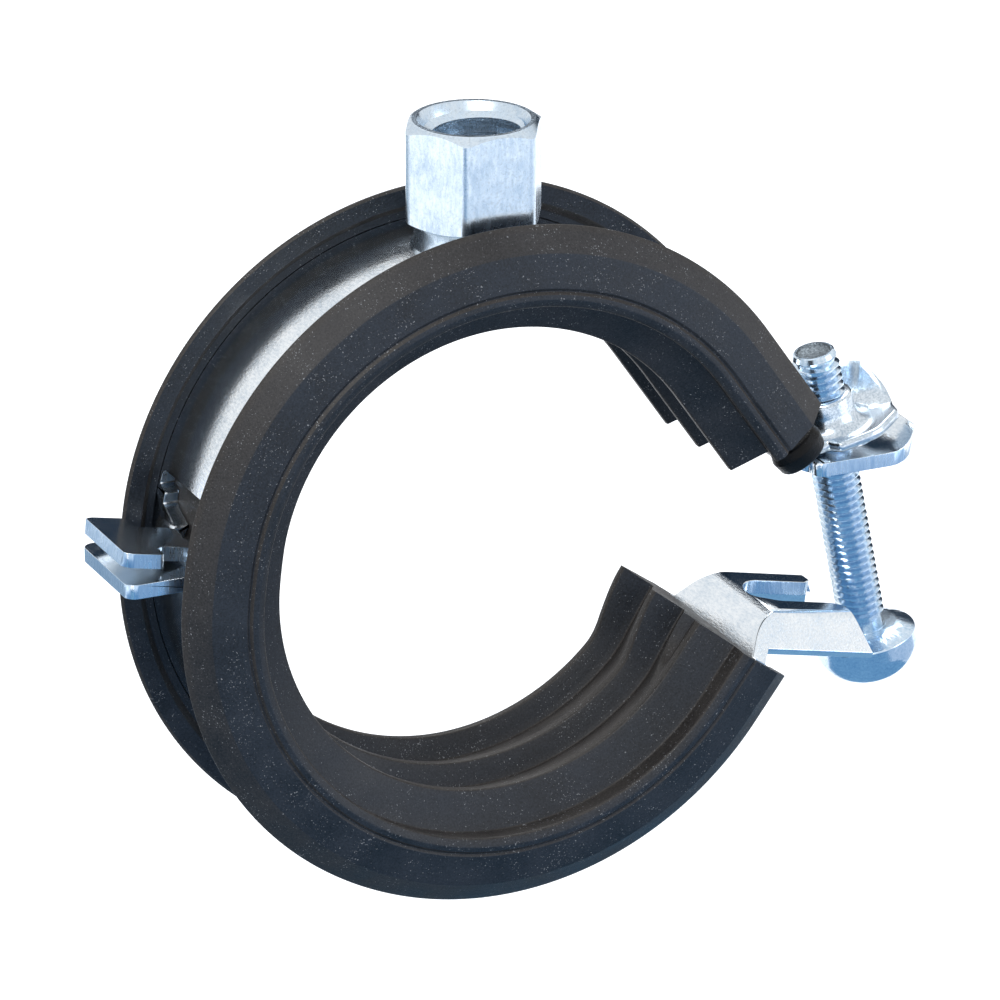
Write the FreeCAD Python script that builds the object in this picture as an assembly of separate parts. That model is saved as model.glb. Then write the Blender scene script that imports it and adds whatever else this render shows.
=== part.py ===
import FreeCAD, Part
import math
import os

V = FreeCAD.Vector

# Cushioned pipe clamp. Origin at the centre of the upper half's bore, X towards the locking screw,
# Y along the pipe, Z towards the connection nut. All sizes in millimetres, angles in degrees.

# Straps
strap_thickness = 1.5
strap_width = 20.0
strap_inner_radius = 30.0
fit_clearance = 0.1
running_gap = 0.3
strap_mid_radius = strap_inner_radius + strap_thickness / 2
strap_outer_radius = strap_inner_radius + strap_thickness

# Upper strap
upper_end_angle = 35.0
upper_straight = 16.6
upper_neck_start = 12.2
upper_neck_width = 8.4
upper_ear_bend_radius = 2.5
upper_ear_slope = 0.0
upper_ear_length = 8.5
upper_ear_width = 12.0
upper_ear_curl_radius = 4.2
upper_ear_curl = 42.0
upper_ear_lip = 1.3
upper_ear_corner = 5.4
ear_slot_width = 5.7
ear_slot_length = 7.6
ear_slot_shift = -0.2

# Hinge
hinge_x = -(strap_outer_radius + 1.5)
flange_top = 3.0
flange_reach = 7.3
flange_inset = 3.7
flange_bend_radius = 3.0
flange_corner = 1.2
window_leg = 1.3
window_step_leg = 2.8
window_above_flange = 5.7
wide_above_flange = 4.2
step_above_flange = 2.6
narrow_above_flange = 1.3
leg_foot_inset = 2.4
tongue_neck_width = 6.0
tongue_side_gap = 0.6
tongue_below_flange = 2.7
tongue_bend_radius = 2.0
tongue_rest_tilt = 11.0
tee_overlap = 1.9
tee_root = 3.0
tee_reach = 7.4
flange_end_x = hinge_x - flange_reach
flange_width = strap_width - 2 * flange_inset
window_narrow = tongue_neck_width + 2 * tongue_side_gap
tee_width = window_narrow + 2 * tee_overlap
tee_root_x = hinge_x - tee_root
tee_end_x = hinge_x - tee_reach
pivot = V(hinge_x, 0, flange_top + running_gap)

# Lower strap, drawn concentric with the upper half and then opened to its rest
rest_opening = 2.6
lower_end_angle = -34.0
lower_straight = 7.5
fork_bend_radius = 3.5
fork_slope = -9.0
fork_length = 8.0
fork_slot_start = -1.45
fork_slot_width = 6.2
fork_top_width = 12.0
wing_out = 2.8
wing_down = 3.5
wing_overhang = 3.0
wing_fold_radius = 1.4

# Rubber lining
rib_reach = 6.0
rib_count = 3
rib_margin = 0.8
rib_offset = 0.8
rib_depth = 2.4
rib_near_face = 1.3
rib_land = 0.8
lining_floor = 2.1
lining_side_wall = 1.5
lining_side_floor = 1.6
lining_shoulder_wall = 0.5
lining_shoulder_height = 1.4
lip_cover = 2.0
lip_height = 3.9
lip_bead_depth = 2.2
lip_hook_cover = 0.8
upper_lining_straight = 10.8
lower_lining_straight = 5.6
lining_split_gap = 0.35
closing_angle = 8.0
rib_radius = strap_inner_radius - rib_reach
lining_valley_radius = strap_inner_radius - lining_floor
lining_side_radius = strap_inner_radius - lining_side_floor
lining_shoulder_radius = strap_outer_radius + lining_shoulder_height
lip_tip_radius = strap_outer_radius + lip_height
lining_side_half = strap_width / 2 + lining_side_wall
lining_shoulder_half = strap_width / 2 + lining_shoulder_wall
lip_tip_half = strap_width / 2 - lip_cover
lip_hook_half = strap_width / 2 - lip_hook_cover
rib_pitch = (2 * lining_side_half - rib_margin) / rib_count

# Connection nut
nut_across_flats = 13.0
nut_height = 10.6
weld_collar_radius = 5.4
weld_collar_flare = 0.5
weld_collar_height = 2.1
weld_collar_root = 6.5
m10_tap_radius = 4.25
m8_tap_radius = 3.4
m10_depth = 5.2
nut_countersink = 0.9
m8_relief = 0.4
nut_bottom = strap_outer_radius + weld_collar_height
nut_top = nut_bottom + nut_height

# Locking screw
screw_radius = 2.5
screw_lean = 11.6
screw_from_ear = 4.5418
screw_tip_proud = 4.9582
screw_under_fork = 1.9822
head_radius = 5.4
head_cone_radius = 3.4
head_cone_height = 0.9
head_side = 1.5
head_dome = 3.3
head_slot_width = 1.3
head_slot_depth = 1.9

# Nut plate
plate_thickness = 1.1
plate_half_width = 5.4
plate_left = 3.3
plate_shoulder = 2.0
plate_right = 7.6
plate_seat_gap = 0.15
plate_collar_radius = 3.3
plate_collar_height = 3.5
plate_collar_fillet = 0.9
plate_thread_clearance = 0.05
rim_centre = 1.9
rim_root_radius = 4.4
rim_top_radius = 6.4
rim_height = 4.1
rim_slope = 37.0
rim_slope_start = 1.2
rim_from = -4.0
rim_to = 104.0

# Retaining ring
ring_at = 15.9
ring_band_width = 2.0
ring_band_thickness = 1.05


def at(x, z, y=0.0):
    """Point of the side view, X right and Z up."""
    return V(x, y, z)


def direction(angle):
    """Unit vector of the side view at an angle above +X."""
    return V(math.cos(math.radians(angle)), 0, math.sin(math.radians(angle)))


def turn(shape, centre, angle):
    """Copy of a shape turned in the side view, positive from +X towards +Z."""
    copy = shape.copy()
    copy.rotate(centre, V(0, 1, 0), -angle)
    return copy


def rounded_wire(points, radii, place):
    """Closed wire through 2D points with rounded corners, each 2D point placed in space."""
    count = len(points)
    starts, mids, ends = [], [], []
    for i in range(count):
        p = V(points[i][0], points[i][1], 0)
        a = V(points[i - 1][0], points[i - 1][1], 0) - p
        b = V(points[(i + 1) % count][0], points[(i + 1) % count][1], 0) - p
        if radii[i] <= 0:
            starts.append(p)
            mids.append(None)
            ends.append(p)
            continue
        half = a.getAngle(b) / 2
        a.normalize()
        b.normalize()
        reach = radii[i] / math.tan(half)
        bisector = a + b
        bisector.normalize()
        centre = p + bisector * (radii[i] / math.sin(half))
        starts.append(p + a * reach)
        mids.append(centre - bisector * radii[i])
        ends.append(p + b * reach)
    edges = []
    for i in range(count):
        j = (i + 1) % count
        if mids[i] is not None:
            corner = [place(q.x, q.y) for q in (starts[i], mids[i], ends[i])]
            edges.append(Part.Arc(*corner).toShape())
        if ends[i].distanceToPoint(starts[j]) > 1e-6:
            edges.append(Part.makeLine(place(ends[i].x, ends[i].y), place(starts[j].x, starts[j].y)))
    return Part.Wire(edges)


class Fold:
    """Centre line of a folded strip in the side view, drawn by straight runs and bends."""

    def __init__(self, x, z, heading):
        self.point = at(x, z)
        self.heading = heading
        self.runs = []

    def go(self, length):
        end = self.point + direction(self.heading) * length
        self.runs.append(("line", self.point, end, self.heading))
        self.point = end
        return self

    def bend(self, radius, sweep):
        side = 1 if sweep > 0 else -1
        centre = self.point + direction(self.heading + 90 * side) * radius
        first = self.heading - 90 * side
        self.runs.append(("arc", centre, radius, first, sweep))
        self.heading += sweep
        self.point = centre + direction(first + sweep) * radius
        return self

    def side(self, offset):
        """Edges of the line moved to its left by an offset."""
        edges = []
        for run in self.runs:
            if run[0] == "line":
                shift = direction(run[3] + 90) * offset
                edges.append(Part.makeLine(run[1] + shift, run[2] + shift))
            else:
                _, centre, radius, first, sweep = run
                reach = radius - offset if sweep > 0 else radius + offset
                spots = [centre + direction(first + sweep * k) * reach for k in (0, 0.5, 1)]
                edges.append(Part.Arc(*spots).toShape())
        return edges

    def strip(self, thickness, width):
        left = self.side(thickness / 2)
        right = self.side(-thickness / 2)
        caps = [Part.makeLine(left[0].Vertexes[0].Point, right[0].Vertexes[0].Point),
                Part.makeLine(left[-1].Vertexes[-1].Point, right[-1].Vertexes[-1].Point)]
        edges = Part.__sortEdges__(left + right + caps)
        face = Part.Face(Part.Wire(edges))
        face.translate(V(0, -width / 2, 0))
        return face.extrude(V(0, width, 0))


def prism(points, radii, place, along):
    """Solid from a rounded outline, drawn out along a vector."""
    return Part.Face(rounded_wire(points, radii, place)).extrude(along)


def block(x0, x1, y0, y1, z0, z1):
    """Box between two corners."""
    return Part.makeBox(x1 - x0, y1 - y0, z1 - z0, V(x0, y0, z0))


def lean(shape):
    """Move a shape drawn round the Z axis at the origin onto the leaning screw axis."""
    copy = turn(shape, V(0, 0, 0), screw_lean)
    copy.translate(V(screw_axis_x_at_zero, 0, 0))
    return copy


def upper_fold(ear_only_start=False):
    """Upper strap from the flange over the top to the ear's lip, or only to the ear's start."""
    flange_mid = flange_top - strap_thickness / 2
    # The flange bend starts where a bend of its radius lands the flange at its height
    start = 180.0
    for step in range(60):
        angle = 180.0 - 0.5 * step
        heading = angle + 90.0
        foot = math.sin(math.radians(angle)) * strap_mid_radius
        drop = flange_bend_radius * (1 + math.cos(math.radians(heading)))
        if foot - drop >= flange_mid:
            start = angle
            break
    fine = start
    low, high = start - 0.5, start + 0.5
    for step in range(40):
        fine = (low + high) / 2
        foot = math.sin(math.radians(fine)) * strap_mid_radius
        drop = flange_bend_radius * (1 + math.cos(math.radians(fine + 90.0)))
        if foot - drop > flange_mid:
            low = fine
        else:
            high = fine
    bend = fine + 90.0 - 180.0
    centre_x = strap_mid_radius * math.cos(math.radians(fine)) - flange_bend_radius * math.sin(
        math.radians(bend))
    fold = Fold(flange_end_x, flange_mid, 0.0)
    fold.go(centre_x - flange_end_x)
    fold.bend(flange_bend_radius, bend)
    fold.bend(strap_mid_radius, -(fine - upper_end_angle))
    fold.go(upper_straight)
    fold.bend(upper_ear_bend_radius, 90 - upper_end_angle + upper_ear_slope)
    if ear_only_start:
        return fold
    fold.go(upper_ear_length)
    fold.bend(upper_ear_curl_radius, upper_ear_curl)
    fold.go(upper_ear_lip)
    return fold


def upper_end_point(along, offset=0.0):
    """Point on the straight run of the upper half, a distance past the end of the ring."""
    radial = direction(upper_end_angle)
    tangent = direction(upper_end_angle - 90)
    return radial * (strap_mid_radius + offset) + tangent * along


def make_upper_strap():
    fold = upper_fold()
    strip = fold.strip(strap_thickness, strap_width)
    # Plan of the ear, seen from above
    neck = upper_end_point(upper_neck_start)
    floor = upper_ear_start.z - 8
    ear_root = upper_end_point(upper_straight + upper_ear_bend_radius * 0.9).x
    ear_end = fold.point.x + strap_thickness / 2 * math.sin(math.radians(fold.heading))
    half_neck = upper_neck_width / 2
    half_ear = upper_ear_width / 2
    plan = [(neck.x - 4, -strap_width), (neck.x - 0.6, -half_neck - 1.2), (neck.x + 0.4, -half_neck),
            (ear_root, -half_neck), (ear_root, -half_ear), (ear_end, -half_ear),
            (ear_end, half_ear), (ear_root, half_ear), (ear_root, half_neck),
            (neck.x + 0.4, half_neck), (neck.x - 0.6, half_neck + 1.2), (neck.x - 4, strap_width)]
    corner = upper_ear_corner
    radii = [0, 0, 0, 0.4, 1.2, corner, corner, 1.2, 0.4, 0, 0, 0]
    keep = prism(plan, radii, lambda x, y: V(x, y, floor), V(0, 0, 25))
    end_region = block(neck.x - 1.5, ear_end + 5, -strap_width, strap_width, floor, neck.z + 1.2)
    strip = strip.cut(end_region.cut(keep))
    # Long hole for the screw
    slot_mid = screw_axis_x_at_zero + ear_slot_shift
    straight = (ear_slot_length - ear_slot_width) / 2
    slot = [(slot_mid - straight - ear_slot_width / 2, -ear_slot_width / 2),
            (slot_mid + straight + ear_slot_width / 2, -ear_slot_width / 2),
            (slot_mid + straight + ear_slot_width / 2, ear_slot_width / 2),
            (slot_mid - straight - ear_slot_width / 2, ear_slot_width / 2)]
    corner = ear_slot_width / 2 - 0.01
    strip = strip.cut(prism(slot, [corner] * 4, lambda x, y: V(x, y, floor), V(0, 0, 12)))
    # Keyhole window and the legs beside it, seen from the hinge side
    wide, step, narrow = strap_width / 2 - window_leg, strap_width / 2 - window_step_leg, window_narrow / 2
    wide_bottom, step_bottom = flange_top + wide_above_flange, flange_top + step_above_flange
    narrow_top, low = flange_top + narrow_above_flange, flange_top - 5
    half_window = [(wide, flange_top + window_above_flange), (wide, wide_bottom), (step, wide_bottom - 0.6),
                   (step, step_bottom), (narrow, narrow_top), (narrow, low)]
    window = half_window + [(-y, z) for y, z in reversed(half_window)]
    window_radii = [0.6, 0.3, 0.3, 0.4, 0.4, 0]
    window_cut = prism(window, window_radii + window_radii[::-1],
                       lambda y, z: V(hinge_x - 0.1, y, z), V(12, 0, 0))
    strip = strip.cut(window_cut)
    foot, flange = strap_width / 2 - leg_foot_inset, flange_width / 2
    reach = -flange_end_x
    for side in (-1, 1):
        outside = [(side * (strap_width / 2 + 1), step_bottom + 1.2),
                   (side * strap_width / 2, step_bottom + 1.2),
                   (side * foot, narrow_top + 0.2), (side * foot, low),
                   (side * (strap_width / 2 + 1), low)]
        strip = strip.cut(prism(outside, [0, 0.5, 0.5, 0, 0], lambda y, z: V(-reach - 5, y, z),
                                V(reach / 2, 0, 0)))
        beside = [(-reach - 1, side * flange), (-strap_outer_radius - 0.9, side * flange),
                  (-strap_outer_radius - 0.1, side * (foot + 0.01)),
                  (5 - strap_inner_radius, side * strap_width), (-reach - 1, side * strap_width)]
        strip = strip.cut(prism(beside, [0, 0.5, 0, 0, 0], lambda x, y: V(x, y, low),
                                V(0, 0, flange_top + 0.6 - low)))
    # Rounded outer corners of the flange
    outline = [(flange_end_x, -flange), (hinge_x + 12, -flange), (hinge_x + 12, flange),
               (flange_end_x, flange)]
    rounded = prism(outline, [flange_corner, 0, 0, flange_corner], lambda x, y: V(x, y, low), V(0, 0, 8))
    tip = block(flange_end_x - 1, hinge_x - 3, -flange, flange, low, low + 8)
    return strip.cut(tip.cut(rounded))


def lower_fold():
    """Lower strap from the T head round the bottom to the fork, concentric with the upper half."""
    tilt = tongue_rest_tilt - rest_opening
    turn_angle = 90 - tilt
    # Neck height that leaves the running gap between the T head and the flange at the pivot
    bend_end_x = -strap_mid_radius - tongue_bend_radius * (1 - math.cos(math.radians(turn_angle)))
    rise = tongue_bend_radius * math.sin(math.radians(turn_angle))
    to_pivot = (bend_end_x - pivot.x) * math.tan(math.radians(tilt))
    half = strap_thickness / 2 / math.cos(math.radians(tilt))
    neck = pivot.z - rise - to_pivot + half
    head_run = (bend_end_x - tee_end_x) / math.cos(math.radians(tilt))
    start = at(bend_end_x, neck + rise) + direction(180 - tilt) * head_run
    fold = Fold(start.x, start.z, -tilt)
    fold.go(head_run)
    fold.bend(tongue_bend_radius, -turn_angle)
    fold.go(neck)
    fold.bend(strap_mid_radius, 180 + lower_end_angle)
    fold.go(lower_straight)
    fold.bend(fork_bend_radius, -(90 + lower_end_angle - fork_slope))
    fold.go(fork_length)
    return fold


# Where the upper ear starts, and the screw axis, which crosses Z = 0 at a distance from it
upper_ear_start = upper_fold(ear_only_start=True).point
screw_axis_x_at_zero = upper_ear_start.x + screw_from_ear
lean_cos = math.cos(math.radians(screw_lean))
lean_sin = math.sin(math.radians(screw_lean))


def make_wing(side):
    """Bent-down wing of the fork. Drawn along +X, with X = 0 where the bend ends, middle plane at Z = 0."""
    half = strap_thickness / 2
    slope = V(wing_out, -wing_down, 0)
    foot = V(fork_top_width / 2, half, 0) + slope
    corner = V(foot - slope)
    slope.normalize()
    inward = V(slope.y, -slope.x, 0)
    inner_foot = foot + inward * strap_thickness
    inner = corner + inward * strap_thickness
    inner_top = inner + slope * ((inner.y + half) / -slope.y)
    root = corner.x - 1.6
    points = [(root, half), (corner.x, corner.y), (foot.x, foot.y), (inner_foot.x, inner_foot.y),
              (inner_top.x, inner_top.y), (root, -half)]
    points = [(side * y, z) for y, z in points]
    start = -2 * strap_width / 3
    far = fork_length + wing_overhang
    wing = prism(points, [0, 0, 0.2, 0.2, 0.3, 0], lambda y, z: V(start, y, z), V(far - start, 0, 0))
    # The wing's end slants outwards towards its foot
    drop = wing_down + strap_thickness
    slant = [(fork_length, half + 0.01), (far, -drop), (far + 2, -drop - 1), (far + 2, half + 1),
             (fork_length, half + 1)]
    return wing.cut(prism(slant, [0, 0.6, 0, 0, 0], lambda x, z: V(x, -strap_width, z),
                          V(0, 2 * strap_width, 0)))


def fork_side_view():
    """Region under the fork's top surface, with its bend and the straight run below it."""
    half = strap_thickness / 2
    sweep = math.radians(90 + lower_end_angle - fork_slope)
    reach = fork_bend_radius + half
    arc = [V(-reach * math.sin(sweep * k), -strap_width, reach * math.cos(sweep * k) - fork_bend_radius)
           for k in (0, 0.5, 1)]
    run = V(-math.cos(sweep), 0, -math.sin(sweep)) * lower_straight
    low = V(0, 0, -2 * strap_width)
    far = V(2 * fork_length, -strap_width, half)
    corners = [arc[0], far, V(far.x, far.y, low.z), V((arc[2] + run).x, far.y, low.z), arc[2] + run, arc[2]]
    edges = [Part.makeLine(corners[k], corners[k + 1]) for k in range(5)]
    edges.append(Part.Arc(*reversed(arc)).toShape())
    # The open run of the strap, past the end of the lining
    bare = lower_straight - lower_lining_straight - fit_clearance
    end = arc[2] + run * (bare / lower_straight)
    across = V(math.sin(sweep), 0, -math.cos(sweep)) * 6
    zone = [end - across, end + across, V(far.x, 0, -8), V(far.x, 0, 8), V((end - across).x, 0, 8)]
    zone = prism([(q.x, q.z) for q in zone], [0] * 5, lambda x, z: V(x, -strap_width, z),
                 V(0, 2 * strap_width, 0))
    return Part.Face(Part.Wire(edges)).extrude(V(0, 2 * strap_width, 0)), zone


def make_lower_strap():
    fold = lower_fold()
    strip = fold.strip(strap_thickness, strap_width)
    # Tongue and T head, seen from above and from the hinge side
    half_tee, half_neck = tee_width / 2, tongue_neck_width / 2
    head = [(tee_end_x - 1, -half_tee), (tee_root_x, -half_tee), (tee_root_x, -half_neck),
            (-strap_inner_radius + 8, -half_neck), (-strap_inner_radius + 8, half_neck),
            (tee_root_x, half_neck), (tee_root_x, half_tee), (tee_end_x - 1, half_tee)]
    base = flange_top - tongue_below_flange
    keep = prism(head, [0, 0.5, 0.8, 0, 0, 0.8, 0.5, 0], lambda x, y: V(x, y, base - 1), V(0, 0, 12))
    above = block(tee_end_x - 2, 10 - strap_inner_radius, -strap_width, strap_width, base, base + 11)
    strip = strip.cut(above.cut(keep))
    corners = [(tee_end_x - 0.2, -half_tee), (0, -half_tee), (0, half_tee), (tee_end_x - 0.2, half_tee)]
    round_keep = prism(corners, [1.3, 0, 0, 1.3], lambda x, y: V(x, y, base - 1), V(0, 0, 12))
    tip = block(tee_end_x - 2, tee_root_x, -half_tee, half_tee, base - 1, base + 11)
    strip = strip.cut(tip.cut(round_keep))
    # Fork: the sides fold down into wings, and the fold starts where the lining ends
    root = fold.point - direction(fork_slope) * fork_length
    half, half_top, half_slot = strap_thickness / 2, fork_top_width / 2, fork_slot_width / 2
    below, zone = fork_side_view()
    wings = [make_wing(side).common(below) for side in (-1, 1)]
    low = 2 * wing_down
    spread = wing_out * (low + half) / wing_down
    roof = [(-half_top - spread, -low), (-half_top, half), (half_top, half), (half_top + spread, -low)]
    roof = prism(roof, [0, wing_fold_radius, wing_fold_radius, 0], lambda y, z: V(-strap_width, y, z),
                 V(2 * strap_width, 0, 0))
    outside = zone.cut(roof)
    mouth = half_slot * 0.95
    slot = [(fork_slot_start, -half_slot), (fork_length - 0.9, -half_slot),
            (fork_length + 0.2, -half_slot - 0.9), (fork_length + 3, -half_slot - 0.9),
            (fork_length + 3, half_slot + 0.9), (fork_length + 0.2, half_slot + 0.9),
            (fork_length - 0.9, half_slot), (fork_slot_start, half_slot)]
    slot_cut = prism(slot, [mouth, 0, 0, 0, 0, 0, 0, mouth], lambda x, y: V(x, y, -8), V(0, 0, 16))
    placed = []
    for shape in [outside, slot_cut] + wings:
        copy = turn(shape, V(0, 0, 0), fork_slope)
        copy.translate(root)
        placed.append(copy)
    strip = strip.fuse(placed[2:]).cut(placed[0]).cut(placed[1]).removeSplitter()
    return turn(strip, pivot, -rest_opening)


def lining_section(angle):
    """Face of the lining's section in the half plane at a side-view angle."""
    grip = fit_clearance / 2
    inner = strap_inner_radius - grip
    outer = strap_outer_radius + grip
    edge = strap_width / 2 + grip
    side = lining_side_half
    points = [(-side, lining_side_radius), (-side + 0.5, lining_valley_radius - 0.5),
              (-side + 1.2, lining_valley_radius)]
    radii = [0.3, 0.3, 0.3]
    base = rib_radius + rib_depth
    crests = [rib_offset + k * rib_pitch for k in (-1, 0, 1)]
    points += [(crests[0] - rib_near_face * 1.5, lining_valley_radius)]
    radii += [0.3]
    for crest in crests:
        if crest > crests[0]:
            points += [(crest - rib_near_face, base)]
            radii += [0.25]
        points += [(crest, rib_radius), (crest + rib_land, rib_radius)]
        radii += [0.3, 0.3]
    points += [(side - 0.7, lining_valley_radius - 0.4), (side, lining_side_radius)]
    radii += [0.3, 0.3]
    lip = [(lining_shoulder_half, lining_shoulder_radius), (lip_tip_half + 0.35, lip_tip_radius),
           (lip_tip_half, lip_tip_radius - 0.35), (lip_tip_half + 0.2, lip_tip_radius - lip_bead_depth),
           (lip_hook_half, outer + 0.8), (lip_hook_half, outer), (edge, outer), (edge, inner)]
    lip_radii = [0.3, 0.2, 0, 0.3, 0.3, 0, 0, 0]
    points += lip + [(-y, r) for y, r in reversed(lip)]
    radii += lip_radii + list(reversed(lip_radii))
    radial = direction(angle)
    place = lambda y, r: radial * r + V(0, y, 0)
    return Part.Face(rounded_wire(points, radii, place))


def make_lining(end_angle, hinge_angle, straight):
    """Ring part and straight part of one lining, between two side-view angles."""
    section = lining_section(end_angle)
    ring = section.revolve(V(0, 0, 0), V(0, 1, 0), -(hinge_angle - end_angle))
    way = direction(end_angle - 90) if hinge_angle > end_angle else direction(end_angle + 90)
    run = section.extrude(way * straight)
    return ring.fuse(run).removeSplitter()


def make_linings():
    upper = make_lining(upper_end_angle, 185.0, upper_lining_straight)
    lower = make_lining(lower_end_angle, -190.0, lower_lining_straight)
    # The split at the hinge: a level cut above, and below it a cut that clears the closing swing
    reach, half = 2 * lip_tip_radius, 2 * lining_side_half
    upper = upper.cut(block(-reach, -5, -half, half, -reach, pivot.z + lining_split_gap / 2))
    slope = math.tan(math.radians(closing_angle + rest_opening))
    far = -5.0
    top = pivot.z - lining_split_gap / 2
    wedge = [(-reach, reach), (-reach, top), (pivot.x, top), (far, top - (far - pivot.x) * slope),
             (far, reach)]
    lower = turn(lower, pivot, -rest_opening)
    return upper, lower.cut(prism(wedge, [0] * 5, lambda x, z: V(x, -half, z), V(0, 2 * half, 0)))


def make_connection_nut():
    corner_radius = nut_across_flats / math.sqrt(3)
    corners = [(corner_radius * math.cos(math.radians(60 * k)),
                corner_radius * math.sin(math.radians(60 * k))) for k in range(6)]
    body = prism(corners, [0.5] * 6, lambda x, y: V(x, y, nut_bottom), V(0, 0, nut_top - nut_bottom))
    # Both faces are turned to a cone, which gives the arcs on the flats
    top_radius = nut_across_flats / 2 - 0.35
    spread = corner_radius - top_radius
    cone = Part.makeCone(corner_radius, top_radius, spread * 0.6, V(0, 0, nut_top - spread * 0.6))
    middle = Part.makeCylinder(corner_radius, nut_top - nut_bottom - spread * 1.2,
                               V(0, 0, nut_bottom + spread * 0.6))
    foot = Part.makeCone(top_radius, corner_radius, spread * 0.6, V(0, 0, nut_bottom))
    body = body.common(cone.fuse([middle, foot]))
    # Weld collar, seated on the curved strap
    root = strap_outer_radius - weld_collar_root
    collar = Part.makeCone(weld_collar_radius + weld_collar_flare, weld_collar_radius, nut_bottom - root,
                           V(0, 0, root))
    ring = Part.makeCylinder(strap_outer_radius, strap_width * 2, V(0, -strap_width, 0), V(0, 1, 0))
    body = body.fuse(collar.cut(ring)).removeSplitter()
    deep = Part.makeCylinder(m8_tap_radius, nut_top, V(0, 0, root - 5))
    wide = Part.makeCylinder(m10_tap_radius, m10_depth + 5, V(0, 0, nut_top - m10_depth))
    mouth = Part.makeCone(m10_tap_radius, m10_tap_radius + nut_countersink, nut_countersink,
                          V(0, 0, nut_top - nut_countersink))
    # Countersink under the lower thread, above the strap
    relief = Part.makeCone(m8_tap_radius + 2 * m8_relief, m8_tap_radius, 2 * m8_relief,
                           V(0, 0, strap_outer_radius - m8_relief))
    return body.cut(deep.fuse([wide, mouth, relief]))


def fork_seat():
    """Height along the screw axis at which it meets the underside of the opened fork."""
    fold = lower_fold()
    under = fold.point + direction(fork_slope - 90) * (strap_thickness / 2) - pivot
    angle = math.radians(-rest_opening)
    x = pivot.x + under.x * math.cos(angle) - under.z * math.sin(angle)
    z = pivot.z + under.x * math.sin(angle) + under.z * math.cos(angle)
    fall = math.tan(math.radians(fork_slope - rest_opening))
    return (z + fall * (screw_axis_x_at_zero - x)) / (lean_cos + fall * lean_sin)


def make_locking_screw():
    tip = plate_seat() + plate_thickness + plate_collar_height + screw_tip_proud
    shoulder = fork_seat() - screw_under_fork
    rim = shoulder - head_cone_height
    side = rim - head_side
    bottom = side - head_dome
    bulge = (side + bottom) / 2 - head_dome * 0.22
    dome_mid = V(head_radius * 0.74, 0, bulge)
    outline = [
        Part.makeLine(V(0, 0, tip), V(screw_radius - 0.5, 0, tip)),
        Part.makeLine(V(screw_radius - 0.5, 0, tip), V(screw_radius, 0, tip - 0.5)),
        Part.makeLine(V(screw_radius, 0, tip - 0.5), V(screw_radius, 0, shoulder)),
        Part.makeLine(V(screw_radius, 0, shoulder), V(head_cone_radius, 0, shoulder)),
        Part.makeLine(V(head_cone_radius, 0, shoulder), V(head_radius, 0, rim)),
        Part.makeLine(V(head_radius, 0, rim), V(head_radius, 0, side)),
        Part.Arc(V(head_radius, 0, side), dome_mid, V(0, 0, bottom)).toShape(),
        Part.makeLine(V(0, 0, bottom), V(0, 0, tip)),
    ]
    screw = Part.Face(Part.Wire(outline)).revolve(V(0, 0, 0), V(0, 0, 1), 360)
    slot = block(-10, 10, -head_slot_width / 2, head_slot_width / 2, bottom - 1, bottom + head_slot_depth)
    return lean(screw.cut(slot))


def plate_seat():
    """Height of the plate's underside on the screw axis, its left edge standing a gap above the ear."""
    ear_top = upper_ear_start.z + strap_thickness / 2
    return (ear_top + plate_seat_gap + plate_left * lean_sin) / lean_cos


def plate_pivot():
    """Left lower edge of the nut plate, about which it rocks on the ear."""
    base = plate_seat()
    return V(screw_axis_x_at_zero - plate_left * lean_cos - base * lean_sin, 0,
             base * lean_cos - plate_left * lean_sin)


def make_nut_plate():
    base = plate_seat()
    half = plate_half_width
    step = -plate_shoulder
    neck = upper_neck_width / 2
    half_outline = [(-plate_left, neck), (step, neck), (step + 0.8, half), (3.4, half), (plate_right, 2.4)]
    outline = half_outline + [(x, -y) for x, y in reversed(half_outline)]
    radii = [0.8, 0.4, 0.5, 4.0, 2.2]
    radii += radii[::-1]
    plate = prism(outline, radii, lambda x, y: V(x, y, base), V(0, 0, plate_thickness))
    # Curled-up rim round the outer side, cut off on a slope that runs down towards the front
    low_in, low_out = rim_root_radius, rim_root_radius + 1.2
    top_out = rim_top_radius
    section = [(low_in, base), (low_out, base), (top_out, base + rim_height),
               (top_out - 1.0, base + rim_height + 0.5), (low_in, base + plate_thickness)]
    face = Part.Face(rounded_wire(section, [0, 1.2, 0.3, 0.3, 1.2], lambda x, z: V(x, 0, z)))
    face.rotate(V(0, 0, 0), V(0, 0, 1), rim_from)
    rim = face.revolve(V(0, 0, 0), V(0, 0, 1), rim_to - rim_from)
    rim.translate(V(rim_centre, 0, 0))
    rise = 20 * math.tan(math.radians(rim_slope))
    low = base + rim_slope_start
    slope = [(-10, low - rise / 2), (10, low + rise / 2), (10, base + 20), (-10, base + 20)]
    rim = rim.cut(prism(slope, [0] * 4, lambda y, z: V(-2, y, z), V(20, 0, 0)))
    collar_top = base + plate_thickness + plate_collar_height
    collar = Part.makeCylinder(plate_collar_radius, collar_top - base, V(0, 0, base))
    shoulder = Part.makeCone(plate_collar_radius + plate_collar_fillet, plate_collar_radius,
                             plate_collar_fillet, V(0, 0, base + plate_thickness))
    shoulder = shoulder.common(block(-plate_left, 20, -20, 20, 0, 40))
    collar = collar.makeChamfer(0.7, [e for e in collar.Edges if abs(e.BoundBox.ZMin - collar_top) < 1e-6])
    body = plate.fuse([rim, collar, shoulder]).removeSplitter()
    bore = Part.makeCylinder(screw_radius + plate_thread_clearance, 40, V(0, 0, -10))
    return lean(body.cut(bore))


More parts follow.
